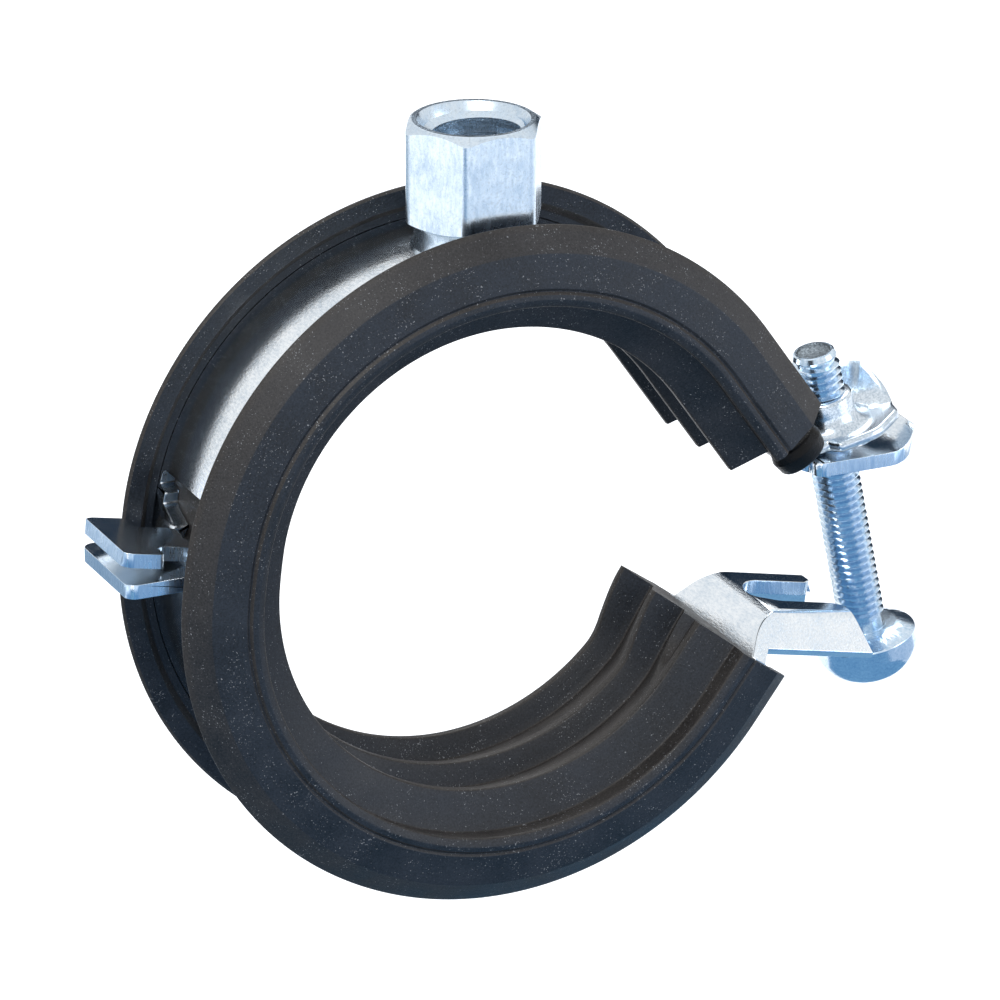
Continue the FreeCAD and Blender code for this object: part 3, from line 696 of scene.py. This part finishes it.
@dataclass
class Lining:
    """The rubber lining: one section led round both halves, with three ribs inside and lips over the straps."""

    mid_radius: float = 30.75
    strap_inner: float = 29.95
    strap_outer: float = 31.55
    strap_edge: float = 10.05
    upper_angle: float = 35.0
    lower_angle: float = 326.0
    upper_straight: float = 10.8
    lower_straight: float = 5.6
    rib_radius: float = 24.0
    rib_depth: float = 2.4
    rib_pitch: float = 7.4
    rib_offset: float = 0.8
    rib_near_face: float = 1.3
    rib_land: float = 0.8
    rib_fillet: float = 0.25
    rib_curl: float = 1.8
    curl_past: float = 2.0
    curl_above: float = 0.6
    valley_radius: float = 27.9
    fillet: float = 0.3
    side: Point = (11.5, 28.4)
    near_heel: Place = (0.5, 0.5, 1.2)
    far_heel: Point = (0.7, 0.4)
    groove_radius: float = 29.2
    groove_depth: float = 0.3
    groove_half: float = 0.3
    groove_lean: Place = (0.11, 0.18, 0.25)
    shoulder: Point = (10.5, 32.9)
    lip_tip: Point = (8.0, 35.4)
    tip_corner: float = 0.35
    bead_depth: float = 2.2
    bead_lean: float = 0.2
    hook_half: float = 9.2
    hook_rise: float = 0.8
    lip_radii: tuple[float, ...] = (0.12, 0.1, 0.12, 0.3, 0.2, 0.0, 0.3, 0.3, 0.0, 0.0, 0.0)
    longest_side: float = 0.9
    pivot: Point = (-33.0, 3.3)
    rest_bend: float = 2.6
    bend_half_width: float = 7.0
    end_length: float = 10.0
    path_steps: int = 260

    def section(self) -> list[Place]:
        """Draw the section across the strap.

        Returns:
            Its points: place along the pipe, radius, and how far a free rib end curls inward.
        """
        side, valley, fillet = self.side[0], self.valley_radius, self.fillet
        base = self.rib_radius + self.rib_depth
        crests = [self.rib_offset + k * self.rib_pitch for k in (-1, 0, 1)]
        out, drop, reach = self.near_heel
        corners: list[Point] = [(-side, self.side[1]), (out - side, valley - drop), (reach - side, valley),
                                (crests[0] - self.rib_near_face * 1.5, valley)]
        radii = [fillet] * 4
        for crest in crests:
            if crest > crests[0]:
                corners.append((crest - self.rib_near_face, base))
                radii.append(self.rib_fillet)
            corners += [(crest, self.rib_radius), (crest + self.rib_land, self.rib_radius)]
            radii += [fillet] * 2
        corners += [(side - self.far_heel[0], valley - self.far_heel[1]), (side, self.side[1])]
        radii += [fillet] * 2
        groove, (start, middle, end) = self.groove_radius, self.groove_lean
        lip: list[Point] = [
            (side - start, groove - self.groove_half), (side - middle - self.groove_depth, groove),
            (side - end, groove + self.groove_half), self.shoulder,
            (self.lip_tip[0] + self.tip_corner, self.lip_tip[1]), (self.lip_tip[0], self.lip_tip[1] - self.tip_corner),
            (self.lip_tip[0] + self.bead_lean, self.lip_tip[1] - self.bead_depth),
            (self.hook_half, self.strap_outer + self.hook_rise), (self.hook_half, self.strap_outer),
            (self.strap_edge, self.strap_outer), (self.strap_edge, self.strap_inner)]
        corners += lip + [(-y, r) for y, r in reversed(lip)]
        radii += self.lip_radii + self.lip_radii[::-1]
        outline = divided(rounded_outline(corners, radii), self.longest_side)
        # The outline starts inside the strap's channel, where its seam is hidden
        first = min(range(len(outline)), key=lambda i: math.dist(outline[i], (0.0, self.strap_inner)))
        outline = outline[first:] + outline[:first]
        return [(y, r, self.rib_share(y, r, crests)) for y, r in outline]

    def rib_share(self, y: float, radius: float, crests: Sequence[float]) -> float:
        """Tell how much of a rib's end curl a point of the section gets.

        Args:
            y: the point's place along the pipe.
            radius: its radius.
            crests: the places of the ribs.

        Returns:
            The share, from 0 to 1. The near rib and the valleys stay straight.
        """
        if y < crests[0] + self.curl_past or radius > self.valley_radius - self.curl_above:
            return 0.0
        return min(1.0, (self.valley_radius - radius) / (self.valley_radius - self.rib_radius))

    def tree(self) -> ShapeTree:
        """Make the tree that leads the section round both halves and bends it at the hinge.

        Returns:
            The tree, which starts from the section's outline.
        """
        arc = math.radians(self.lower_angle - self.upper_angle)
        hinge_angle = math.atan2(self.pivot[1], self.pivot[0])
        shape = ShapeTree("lining sweep", {
            "Radius": self.mid_radius, "Upper Straight": self.upper_straight, "Arc": arc,
            "Lower Straight": self.lower_straight, "Start Angle": math.radians(self.upper_angle),
            "Hinge Angle": hinge_angle, "Bend": math.radians(self.rest_bend),
            "Bend Half Width": math.radians(self.bend_half_width), "End Length": self.end_length,
            "Rib Curl": self.rib_curl})
        size, add = shape.inputs, shape.add
        curved = add("ShaderNodeMath", {0: size["Radius"], 1: size["Arc"]}, operation="MULTIPLY")
        both = add("ShaderNodeMath", {0: size["Upper Straight"], 1: size["Lower Straight"]}, operation="ADD")
        total = add("ShaderNodeMath", {0: curved, 1: both}, operation="ADD")
        line = add("GeometryNodeCurvePrimitiveLine", {
            "Start": (0, 0, 0), "End": add("ShaderNodeCombineXYZ", {"Z": total})})
        path = add("GeometryNodeResampleCurve", {"Curve": line, "Count": self.path_steps})
        travelled = add("ShaderNodeSeparateXYZ", {0: add("GeometryNodeInputPosition")}, "Z")
        past = add("ShaderNodeMath", {0: travelled, 1: size["Upper Straight"]}, operation="SUBTRACT")
        above = add("ShaderNodeMath", {0: past, 1: 0.0}, operation="MAXIMUM")
        on_arc = add("ShaderNodeMath", {0: above, 1: curved}, operation="MINIMUM")
        off = add("ShaderNodeMath", {0: past, 1: on_arc}, operation="SUBTRACT")
        turned = add("ShaderNodeMath", {0: on_arc, 1: size["Radius"]}, operation="DIVIDE")
        angle = add("ShaderNodeMath", {0: turned, 1: size["Start Angle"]}, operation="ADD")
        cosine = add("ShaderNodeMath", {0: angle}, operation="COSINE")
        sine = add("ShaderNodeMath", {0: angle}, operation="SINE")
        minus = add("ShaderNodeMath", {0: sine, 1: -1.0}, operation="MULTIPLY")
        radial = add("ShaderNodeCombineXYZ", {"X": cosine, "Z": sine})
        tangent = add("ShaderNodeCombineXYZ", {"X": minus, "Z": cosine})
        out = add("ShaderNodeVectorMath", {0: radial, "Scale": size["Radius"]}, operation="SCALE")
        beyond = add("ShaderNodeVectorMath", {0: tangent, "Scale": off}, operation="SCALE")
        flat = add("ShaderNodeVectorMath", {0: out, 1: beyond}, operation="ADD")
        low = add("ShaderNodeMath", {0: size["Hinge Angle"], 1: size["Bend Half Width"]}, operation="SUBTRACT")
        high = add("ShaderNodeMath", {0: size["Hinge Angle"], 1: size["Bend Half Width"]}, operation="ADD")
        bend = add("ShaderNodeMapRange", {
            "Value": angle, "From Min": low, "From Max": high, "To Max": size["Bend"]},
            interpolation_type="SMOOTHSTEP")
        pivot = (self.pivot[0], 0.0, self.pivot[1])
        placed = add("ShaderNodeVectorRotate", {"Vector": flat, "Center": pivot, "Angle": bend},
                     rotation_type="Y_AXIS")
        inward = add("ShaderNodeVectorRotate", {"Vector": radial, "Angle": bend}, rotation_type="Y_AXIS")
        # Lengths and directions are kept on the path before its points move, for the ribs and the finish
        kept = add("GeometryNodeStoreNamedAttribute", {
            "Geometry": path, "Name": "along", "Value": travelled}, data_type="FLOAT", domain="POINT")
        kept = add("GeometryNodeStoreNamedAttribute", {
            "Geometry": kept, "Name": "outward", "Value": inward}, data_type="FLOAT_VECTOR", domain="POINT")
        ring = add("GeometryNodeSetPosition", {"Geometry": kept, "Position": placed})
        profile = add("GeometryNodeMeshToCurve", {"Mesh": size["Geometry"]})
        profile = add("GeometryNodeStoreNamedAttribute", {
            "Geometry": profile, "Name": "across", "Value": add("GeometryNodeSplineParameter", output="Length")},
            data_type="FLOAT", domain="POINT")
        body = add("GeometryNodeCurveToMesh", {"Curve": ring, "Profile Curve": profile, "Fill Caps": True})
        along = add("GeometryNodeInputNamedAttribute", {"Name": "along"}, data_type="FLOAT")
        across = add("GeometryNodeInputNamedAttribute", {"Name": "across"}, data_type="FLOAT")
        outward = add("GeometryNodeInputNamedAttribute", {"Name": "outward"}, data_type="FLOAT_VECTOR")
        share = add("GeometryNodeInputNamedAttribute", {"Name": "rib_share"}, data_type="FLOAT")
        from_end = add("ShaderNodeMath", {0: total, 1: size["End Length"]}, operation="SUBTRACT")
        near_end = add("ShaderNodeMapRange", {
            "Value": along, "From Min": from_end, "From Max": total}, interpolation_type="SMOOTHSTEP")
        curl = add("ShaderNodeMath", {0: share, 1: near_end}, operation="MULTIPLY")
        curl = add("ShaderNodeMath", {0: curl, 1: size["Rib Curl"]}, operation="MULTIPLY")
        curl = add("ShaderNodeMath", {0: curl, 1: -1.0}, operation="MULTIPLY")
        lift = add("ShaderNodeVectorMath", {0: outward, "Scale": curl}, operation="SCALE")
        body = add("GeometryNodeSetPosition", {"Geometry": body, "Offset": lift})
        lengths = add("ShaderNodeCombineXYZ", {"X": along, "Y": across})
        lengths = add("ShaderNodeVectorMath", {0: lengths, "Scale": MM}, operation="SCALE")
        body = add("GeometryNodeStoreNamedAttribute", {
            "Geometry": body, "Name": "lining_lengths", "Value": lengths},
            data_type="FLOAT_VECTOR", domain="POINT")
        shape.finish(body)
        return shape

    def build(self) -> list[bpy.types.Object]:
        """Make the lining, which bends between the two halves.

        Returns:
            The lining alone, as a list.
        """
        section = self.section()
        count = len(section)
        flat = mesh_object("lining", [(y, self.mid_radius - r, 0.0) for y, r, _ in section],
                           edges=[(i, (i + 1) % count) for i in range(count)])
        # The tree works in millimetres
        flat.data.transform(Matrix.Scale(1 / MM, 4))
        share = flat.data.attributes.new("rib_share", "FLOAT", "POINT")
        share.data.foreach_set("value", [s for _, _, s in section])
        made = self.tree().build(flat, LINING_RUBBER.material())
        with edited(made.data) as work:
            if work.calc_volume(signed=True) < 0:
                bmesh.ops.reverse_faces(work, faces=work.faces)
        smooth_by_angle(made, 38)
        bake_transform(made)
        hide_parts("lining_upper", "lining_lower")
        return [made]


@dataclass
class Straps:
    """The two folded straps, with the plating's satin on their faces and shear marks on their edges."""

    edge_mm: float = 0.14
    hinge_x: float = -36.5
    side_facing: float = 0.9
    end_facing: float = 0.6

    def is_cut(self, face: bpy.types.MeshPolygon) -> bool:
        """Whether a face is a sheared side of the strip or one of its ends at the hinge."""
        at_hinge = face.center.x < self.hinge_x * MM
        return abs(face.normal.y) > self.side_facing or (at_hinge and face.normal.x < -self.end_facing)

    def build(self) -> list[bpy.types.Object]:
        """Make both straps.

        Returns:
            The upper strap and the lower one.
        """
        rolled, sheared = ROLLED_ZINC.material(), SHEARED_ZINC.material()
        made = []
        for node, body in (("upper_strap", "upper_half"), ("lower_strap", "lower_half")):
            strap = copy_of_node(node, node + "_plated")
            dress_by_face(strap, rolled, sheared, self.is_cut)
            soften_edges(strap, self.edge_mm)
            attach(strap, body)
            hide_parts(node)
            made.append(strap)
        return made


@dataclass
class ConnectionNut:
    """The hexagon nut on its weld collar, threaded M10 over M8 inside."""

    flats: float = 13.0
    corner: float = 1.15
    strap: float = 31.45
    collar: float = 6.0
    collar_root: float = 6.45
    foot: float = 33.6
    top: float = 44.2
    chamfer_start: float = 6.3
    chamfer_slope: float = 0.66
    mouth: float = 5.6
    mouth_depth: float = 1.3
    foot_slope: float = 0.7
    edge: float = 0.12
    step: float = 39.1
    bore_end: float = 31.3
    longest_side: float = 0.35
    m10: Thread = field(default_factory=lambda: Thread(1.5, 3.2, 5.02, 4.3, 38.5, run_out=0.3))
    m8: Thread = field(default_factory=lambda: Thread(1.25, 5.4, 4.02, 3.35, 32.0, run_out=0.4))

    def profile(self, reach: float, along: float) -> list[tuple[float, float]]:
        """Distance and height once round the metal, in one direction from the axis.

        Args:
            reach: the distance of the hexagon's side in this direction.
            along: how far each millimetre of distance goes round the strap.

        Returns:
            The closed loop of distances and heights.
        """
        def on_strap(distance: float) -> float:
            """The height at which the nut sits on the round strap."""
            return math.sqrt(self.strap ** 2 - (distance * along) ** 2)

        wide, narrow, edge = self.m10.root, self.m8.root, self.edge
        rise = (reach - self.chamfer_start) * self.chamfer_slope
        low = self.foot + rise * self.foot_slope
        root = on_strap(self.collar_root)
        collar = [(self.collar_root, root), (self.collar + edge, root + 0.35), (self.collar, root + 0.8),
                  (self.collar, self.foot - 0.3), (self.collar + 0.1, self.foot)]
        body = [(self.chamfer_start - 0.1, self.foot), (reach - edge, low), (reach, low + edge),
                (reach, self.top - rise - edge), (reach - edge, self.top - rise),
                (self.chamfer_start, self.top - edge * 0.5), (self.chamfer_start - edge, self.top)]
        inside = [(self.mouth + edge, self.top), (self.mouth, self.top - edge), (wide, self.top - self.mouth_depth),
                  (wide, self.step), (narrow, self.step), (narrow, self.bore_end)]
        # The loop closes along the strap's crown
        return collar + body + inside + [(narrow + 0.01, on_strap(narrow))]

    def build(self) -> list[bpy.types.Object]:
        """Make the nut with its threads.

        Returns:
            The nut alone, as a list.
        """
        half = self.flats / 2
        tip = half / math.cos(math.radians(30))
        corners = [(tip * math.cos(math.radians(60 * k)), tip * math.sin(math.radians(60 * k))) for k in range(6)]
        columns = []
        for x, y in divided(rounded_outline(corners, [self.corner] * 6, 6), self.longest_side):
            reach = math.hypot(x, y)
            columns.append([(d * x / reach, d * y / reach, z) for d, z in self.profile(reach, x / reach)])
        plated = BAR_ZINC.material()
        nut = closed_loft("nut_body", columns, 24)
        nut.data.materials.append(plated)
        threads = [self.m10.build("thread_m10", plated), self.m8.build("thread_m8", plated)]
        made = join("connection_nut_plated", [nut, *threads])
        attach(made, "upper_half")
        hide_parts("connection_nut")
        return [made]


@dataclass
class LockingScrew:
    """The M5 locking screw on its leaning axis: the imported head, and a threaded shank with a dished end.

    The end's rim is given by the distance from the thread's root and the height from the tip, and its dish by
    the distance from the axis and the height from the tip.
    """

    lean_deg: float = 11.6
    axis_x: float = 41.3
    tip: float = 14.19
    shoulder: float = -18.01
    overlap: float = 0.05
    end_rim: tuple[Point, ...] = ((0.0, -1.0), (0.3, -0.6), (0.12, -0.12), (-0.03, 0.0), (-0.22, 0.0), (-0.36, -0.2))
    end_dish: tuple[Point, ...] = ((1.0, -0.38), (0.0, -0.42))
    dish_edge: float = 0.25
    dish_depth: float = 0.5
    edge_mm: float = 0.2
    thread: Thread = field(default_factory=lambda: Thread(0.8, 38.6, 2.02, 2.5, -17.2, run_out=1.2, steps=32))

    def place(self) -> Matrix:
        """The place of a shape drawn round the Z axis."""
        return (Matrix.Translation((self.axis_x * MM, 0, 0))
                @ Matrix.Rotation(-math.radians(self.lean_deg), 4, "Y"))

    def head(self) -> bpy.types.Object:
        """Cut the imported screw's shank off.

        Returns:
            The head, drawn round the Z axis.
        """
        head = copy_of_node("locking_screw", "locking_screw_plated")
        head.data.transform(self.place().inverted())
        with edited(head.data) as work:
            bmesh.ops.bisect_plane(work, geom=work.verts[:] + work.edges[:] + work.faces[:], dist=1e-7,
                                   plane_co=(0, 0, (self.shoulder + self.overlap) * MM), plane_no=(0, 0, 1),
                                   clear_outer=True)
            bmesh.ops.holes_fill(work, edges=[e for e in work.edges if e.is_boundary], sides=0)
        return head

    def core(self) -> bpy.types.Object:
        """Turn the shank's core, with a chamfered end round the dish that cropping the wire leaves.

        Returns:
            The core, with the dish in a finish of its own.
        """
        root, tip = self.thread.root, self.tip
        line = [(0.0, self.shoulder), (root, self.shoulder), *((root + out, tip + up) for out, up in self.end_rim),
                *((out, tip + up) for out, up in self.end_dish)]
        core = lathe("screw_core", line, 64)
        dish = root - self.dish_edge
        dress_by_face(core, HEADED_ZINC.material(), CROPPED_ZINC.material(), lambda face: (
            face.center.z / MM > tip - self.dish_depth and math.hypot(face.center.x, face.center.y) / MM < dish))
        smooth_by_angle(core, 25)
        return core

    def build(self) -> list[bpy.types.Object]:
        """Make the screw.

        Returns:
            The screw alone, as a list.
        """
        head, core = self.head(), self.core()
        plated = core.data.materials[0]
        head.data.materials.append(plated)
        smooth_by_angle(head, 40)
        soften_edges(head, self.edge_mm, degrees=45, segments=3)
        made = join("locking_screw_plated", [head, core, self.thread.build("screw_thread", plated)])
        made.data.transform(self.place())
        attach(made, "screw")
        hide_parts("locking_screw")
        return [made]


@dataclass
class NutPlate:
    """The pressed nut plate: it flares into its drawn collar, and its rim curls up on the far side."""

    base: float = 4.632
    thickness: float = 1.1
    bore: float = 2.3
    collar: float = 3.2
    collar_height: float = 3.5
    flare: float = 1.9
    corners: tuple[Point, ...] = ((-3.45, -4.2), (-2.0, -4.2), (-1.2, -5.4), (3.4, -5.4), (7.1, -2.7), (7.75, 1.0),
                                  (6.6, 4.4), (3.6, 6.2), (0.6, 6.0), (-1.4, 5.2), (-2.2, 4.2), (-3.45, 4.2))
    radii: tuple[float, ...] = (0.8, 0.4, 0.5, 4.0, 1.6, 4.0, 4.0, 4.0, 3.0, 1.5, 1.0, 0.8)
    rim_width: float = 3.3
    rim_height: float = 3.7
    rim_slope: float = 0.82
    rim_from: float = -0.7
    rim_spread: float = 2.8
    rim_curl: float = 1.8
    edge_mm: float = 0.22
    rows: int = 16
    longest_side: float = 0.25
    place: Matrix = field(default_factory=lambda: LockingScrew().place())

    def rim_rise(self, x: float, y: float) -> float:
        """Tell how high the rim curls at a point of the plate's edge.

        Args:
            x: how far the point lies from the screw, away from the clamp.
            y: how far it lies towards the far side.

        Returns:
            The rise of the rim.
        """
        side = min(1.0, max(0.0, x / self.rim_spread))
        height = min(self.rim_height, max(0.0, self.rim_slope * (y - self.rim_from)))
        return height * side * side * (3 - 2 * side)

    def profile(self, reach: float, rise: float) -> list[tuple[float, float]]:
        """Distance and height once round the metal, in one direction from the axis.

        Args:
            reach: the distance of the plate's edge.
            rise: how high the rim curls there.

        Returns:
            The closed loop of distances and heights.
        """
        top, edge = self.base + self.thickness, self.edge_mm

        def lift(distance: float) -> float:
            """The height that the curl adds at a distance."""
            share = max(0.0, (distance - reach + self.rim_width) / self.rim_width)
            return rise * share ** self.rim_curl

        steps = [k / self.rows for k in range(self.rows)]
        spots = [self.bore + (reach - edge - self.bore) * s for s in [*steps, 1.0]]
        under = [(distance, self.base + lift(distance)) for distance in spots]
        around = [(reach, self.base + rise + edge), (reach, top + rise - edge)]
        over = []
        for s in [1.0, *reversed(steps)]:
            distance = self.collar + (reach - edge - self.collar) * s
            # A round fillet leads the plate up into the collar
            inside = min(self.flare, max(0.0, self.collar + self.flare - distance))
            fillet = self.flare - math.sqrt(self.flare ** 2 - inside ** 2)
            over.append((distance, top + lift(distance) + fillet))
        high = top + self.collar_height
        tube = [(self.collar, high - 0.4), (self.collar - 0.1, high - 0.12), (self.collar - 0.3, high),
                (self.bore, high)]
        return under + around + over + tube

    def build(self) -> list[bpy.types.Object]:
        """Make the nut plate.

        Returns:
            The plate alone, as a list.
        """
        columns = []
        for x, y in divided(rounded_outline(self.corners, self.radii, 6), self.longest_side):
            reach = math.hypot(x, y)
            columns.append([(d * x / reach, d * y / reach, z) for d, z in self.profile(reach, self.rim_rise(x, y))])
        plate = closed_loft("nut_plate_plated", columns, 55)
        plate.data.transform(self.place)
        plate.data.materials.append(PRESSED_ZINC.material())
        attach(plate, "plate")
        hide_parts("nut_plate")
        return [plate]


@dataclass
class RetainingRing:
    """The soft black ring on the neck of the upper ear: a loose loop that stands off the near edge."""

    upper_angle: float = 35.0
    mid_radius: float = 30.75
    at: float = 14.9
    near: float = 6.2
    far: float = 4.5
    half_thickness: float = 0.82
    band: float = 1.1
    band_width: float = 2.3
    bulge: float = 0.3
    opening: float = 0.9
    lift: float = 0.35
    widening: float = 0.2
    near_from: float = 3.4
    near_over: float = 2.0
    corner_radii: tuple[float, ...] = (0.78, 0.5, 0.5, 0.78)
    section_radii: tuple[float, ...] = (0.2, 0.3, 0.35, 0.4, 0.2)
    longest_side: float = 0.4

    def near_share(self, y: float) -> float:
        """How much of the near side's bulge a point gets, from 0 to 1."""
        t = min(1.0, max(0.0, (-y - self.near_from) / self.near_over))
        return t * t * (3 - 2 * t)

    def build(self) -> list[bpy.types.Object]:
        """Make the ring.

        Returns:
            The ring alone, as a list.
        """
        half, width = self.half_thickness, self.band_width / 2
        inner = divided(rounded_outline(
            [(-self.near, -half), (self.far, -half), (self.far, half), (-self.near, half)],
            self.corner_radii, 8), self.longest_side)
        section = rounded_outline([(0, -width), (self.band * 0.75, -width), (self.band, -width * 0.25),
                                   (self.band * 0.8, width), (0, width)], self.section_radii)
        angle = math.radians(self.upper_angle)
        radial = Vector((math.cos(angle), 0, math.sin(angle)))
        tangent = Vector((math.sin(angle), 0, -math.cos(angle)))
        centre = radial * self.mid_radius + tangent * self.at
        columns, count = [], len(inner)
        for i, (y, n) in enumerate(inner):
            way = Vector(inner[(i + 1) % count]) - Vector(inner[i - 1])
            out = Vector((way.y, -way.x)).normalized()
            more = self.near_share(y)
            n = n * (1 + self.opening * more) + self.lift * more
            column = []
            for reach, along in section:
                reach *= 1 + self.bulge * more
                column.append(centre + radial * (n + out.y * reach) + Vector((0, y + out.x * reach, 0))
                              + tangent * along * (1 + self.widening * more))
            columns.append(column)
        ring = closed_loft("retaining_ring_soft", columns, 50)
        ring.data.materials.append(RING_RUBBER.material())
        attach(ring, "upper_half")
        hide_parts("retaining_ring")
        return [ring]


# Studio


@dataclass
class Studio:
    """Pale floor, soft lamps, cards that only reflections show, and the camera at the photograph's angle."""

    lens_mm: float = 248.0
    sensor_mm: float = 36.0
    distance_mm: float = 700.0
    back: Place = (-0.386, -0.847, 0.364)
    right: Place = (0.910, -0.415, 0.0)
    shift: Point = (0.0254, 0.0321)
    floor_z: float = -70.0
    floor_half: float = 4000.0
    floor_glow: float = 0.78
    world_glow: float = 0.5

    def camera(self) -> None:
        """Place the camera."""
        data = bpy.data.cameras.new("camera")
        data.lens, data.sensor_width = self.lens_mm, self.sensor_mm
        data.shift_x, data.shift_y = self.shift
        data.clip_start, data.clip_end = 0.01, 100
        made = in_scene("camera", data)
        back = Vector(self.back).normalized()
        right = Vector(self.right).normalized()
        up = back.cross(right)
        turn = Matrix((right, up, back)).transposed().to_4x4()
        made.matrix_world = Matrix.Translation(back * self.distance_mm * MM) @ turn
        bpy.context.scene.camera = made

    def lamp(self, name: str, place: Place, size: float, power: float, colour: str = "ffffff") -> None:
        """Add a square soft lamp that looks at the clamp.

        Args:
            name: the lamp's name.
            place: where it stands, in metres.
            size: the length of its side, in metres.
            power: its watts.
            colour: its hex colour.
        """
        data = bpy.data.lights.new(name, "AREA")
        data.energy, data.size = power, size
        data.color = linear(colour)[:3]
        made = in_scene(name, data)
        made.location = place
        made.rotation_euler = (-Vector(place)).to_track_quat("-Z", "Y").to_euler()

    def seen(self, tree: bpy.types.NodeTree) -> bpy.types.NodeSocket:
        """Tell the rays that show a backdrop from those that it only lights.

        Args:
            tree: the backdrop's tree.

        Returns:
            A value of 1 for the camera's rays, reflections and rays through glass.
        """
        ray = add_node(tree, "ShaderNodeLightPath").outputs
        first = add_node(tree, "ShaderNodeMath", {0: ray["Is Camera Ray"], 1: ray["Is Glossy Ray"]},
                         operation="MAXIMUM").outputs[0]
        return add_node(tree, "ShaderNodeMath", {0: first, 1: ray["Is Transmission Ray"]},
                        operation="MAXIMUM").outputs[0]

    def world(self) -> None:
        """White for the camera and in reflections, and a softer grey for the light it gives."""
        world = bpy.data.worlds.new("studio")
        world.use_nodes = True
        tree = world.node_tree
        tree.nodes.clear()
        soft = add_node(tree, "ShaderNodeBackground", {
            "Color": linear("e9eef5"), "Strength": self.world_glow}).outputs[0]
        white = add_node(tree, "ShaderNodeBackground", {"Color": linear("ffffff"), "Strength": 1.0}).outputs[0]
        mixed = add_node(tree, "ShaderNodeMixShader", {0: self.seen(tree), 1: soft, 2: white}).outputs[0]
        add_node(tree, "ShaderNodeOutputWorld", {0: mixed})
        bpy.context.scene.world = world

    def floor(self) -> None:
        """Lay a pale floor well under the hanging clamp."""
        half = self.floor_half
        floor = mesh_object("floor", [(x, y, self.floor_z) for x, y in (
            (-half, -half), (half, -half), (half, half), (-half, half))], [(0, 1, 2, 3)])
        material, tree = new_material("pale studio floor")
        paint = add_node(tree, "ShaderNodeBsdfDiffuse", {"Color": linear("d8dade")}).outputs[0]
        lit = add_node(tree, "ShaderNodeEmission", {
            "Color": linear("ffffff"), "Strength": self.floor_glow}).outputs[0]
        both = add_node(tree, "ShaderNodeAddShader", {0: paint, 1: lit}).outputs[0]
        mixed = add_node(tree, "ShaderNodeMixShader", {0: self.seen(tree), 1: paint, 2: both}).outputs[0]
        add_node(tree, "ShaderNodeOutputMaterial", {0: mixed})
        floor.data.materials.append(material)

    def card(self, name: str, corners: Sequence[Place], colour: str) -> None:
        """Place a plain card that shows only in reflections, as a photographer does beside bright metal.

        Args:
            name: the card's name.
            corners: its four corners in millimetres.
            colour: its hex colour.
        """
        card = mesh_object(name, corners, [(0, 1, 2, 3)])
        material, tree = new_material("reflection card")
        shade = add_node(tree, "ShaderNodeEmission", {"Color": linear(colour), "Strength": 1.0}).outputs[0]
        add_node(tree, "ShaderNodeOutputMaterial", {0: shade})
        card.data.materials.append(material)
        card.visible_camera = card.visible_diffuse = card.visible_shadow = False

    def build(self) -> None:
        """Make the whole studio, with the cards behind, under and beside the clamp."""
        self.camera()
        self.world()
        self.floor()
        self.lamp("key", (-0.5, -0.55, 0.8), 0.5, 6.5)
        self.lamp("fill", (0.8, -0.6, 0.25), 0.6, 2.5, "e6f0ff")
        self.lamp("back", (0.28, 0.62, 0.8), 0.4, 3.5)
        self.card("card_behind", [(190, 900, -60), (1650, 900, -60), (1650, 900, 700), (190, 900, 640)], "1d2c3c")
        low = self.floor_z + 1
        self.card("card_below", [(-200, -290, low), (105, -290, low), (105, 40, low), (-200, 40, low)], "76a5cc")
        self.card("card_back", [(-300, 70, low), (-25, 70, low), (-25, 330, low), (-300, 330, low)], "9fb4c6")
        self.card("card_left", [(-340, -330, low), (-201, -330, low), (-201, -80, low), (-340, -130, low)], "5488b6")
        self.card("card_right", [(106, -290, low), (300, -290, low), (300, 40, low), (106, 40, low)], "c3d6ee")
        bpy.context.scene.view_settings.view_transform = "Standard"


def main() -> None:
    """Build the clamp and its studio."""
    logging.basicConfig(level=logging.INFO, format="%(message)s")
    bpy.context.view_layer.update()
    Studio().build()
    for group in (Straps(), ConnectionNut(), LockingScrew(), NutPlate(), RetainingRing(), Lining()):
        for piece in group.build():
            log.info("%s: %s, %d faces", type(group).__name__, piece.name, len(piece.data.polygons))
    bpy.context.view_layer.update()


if __name__ == "__main__":
    main()
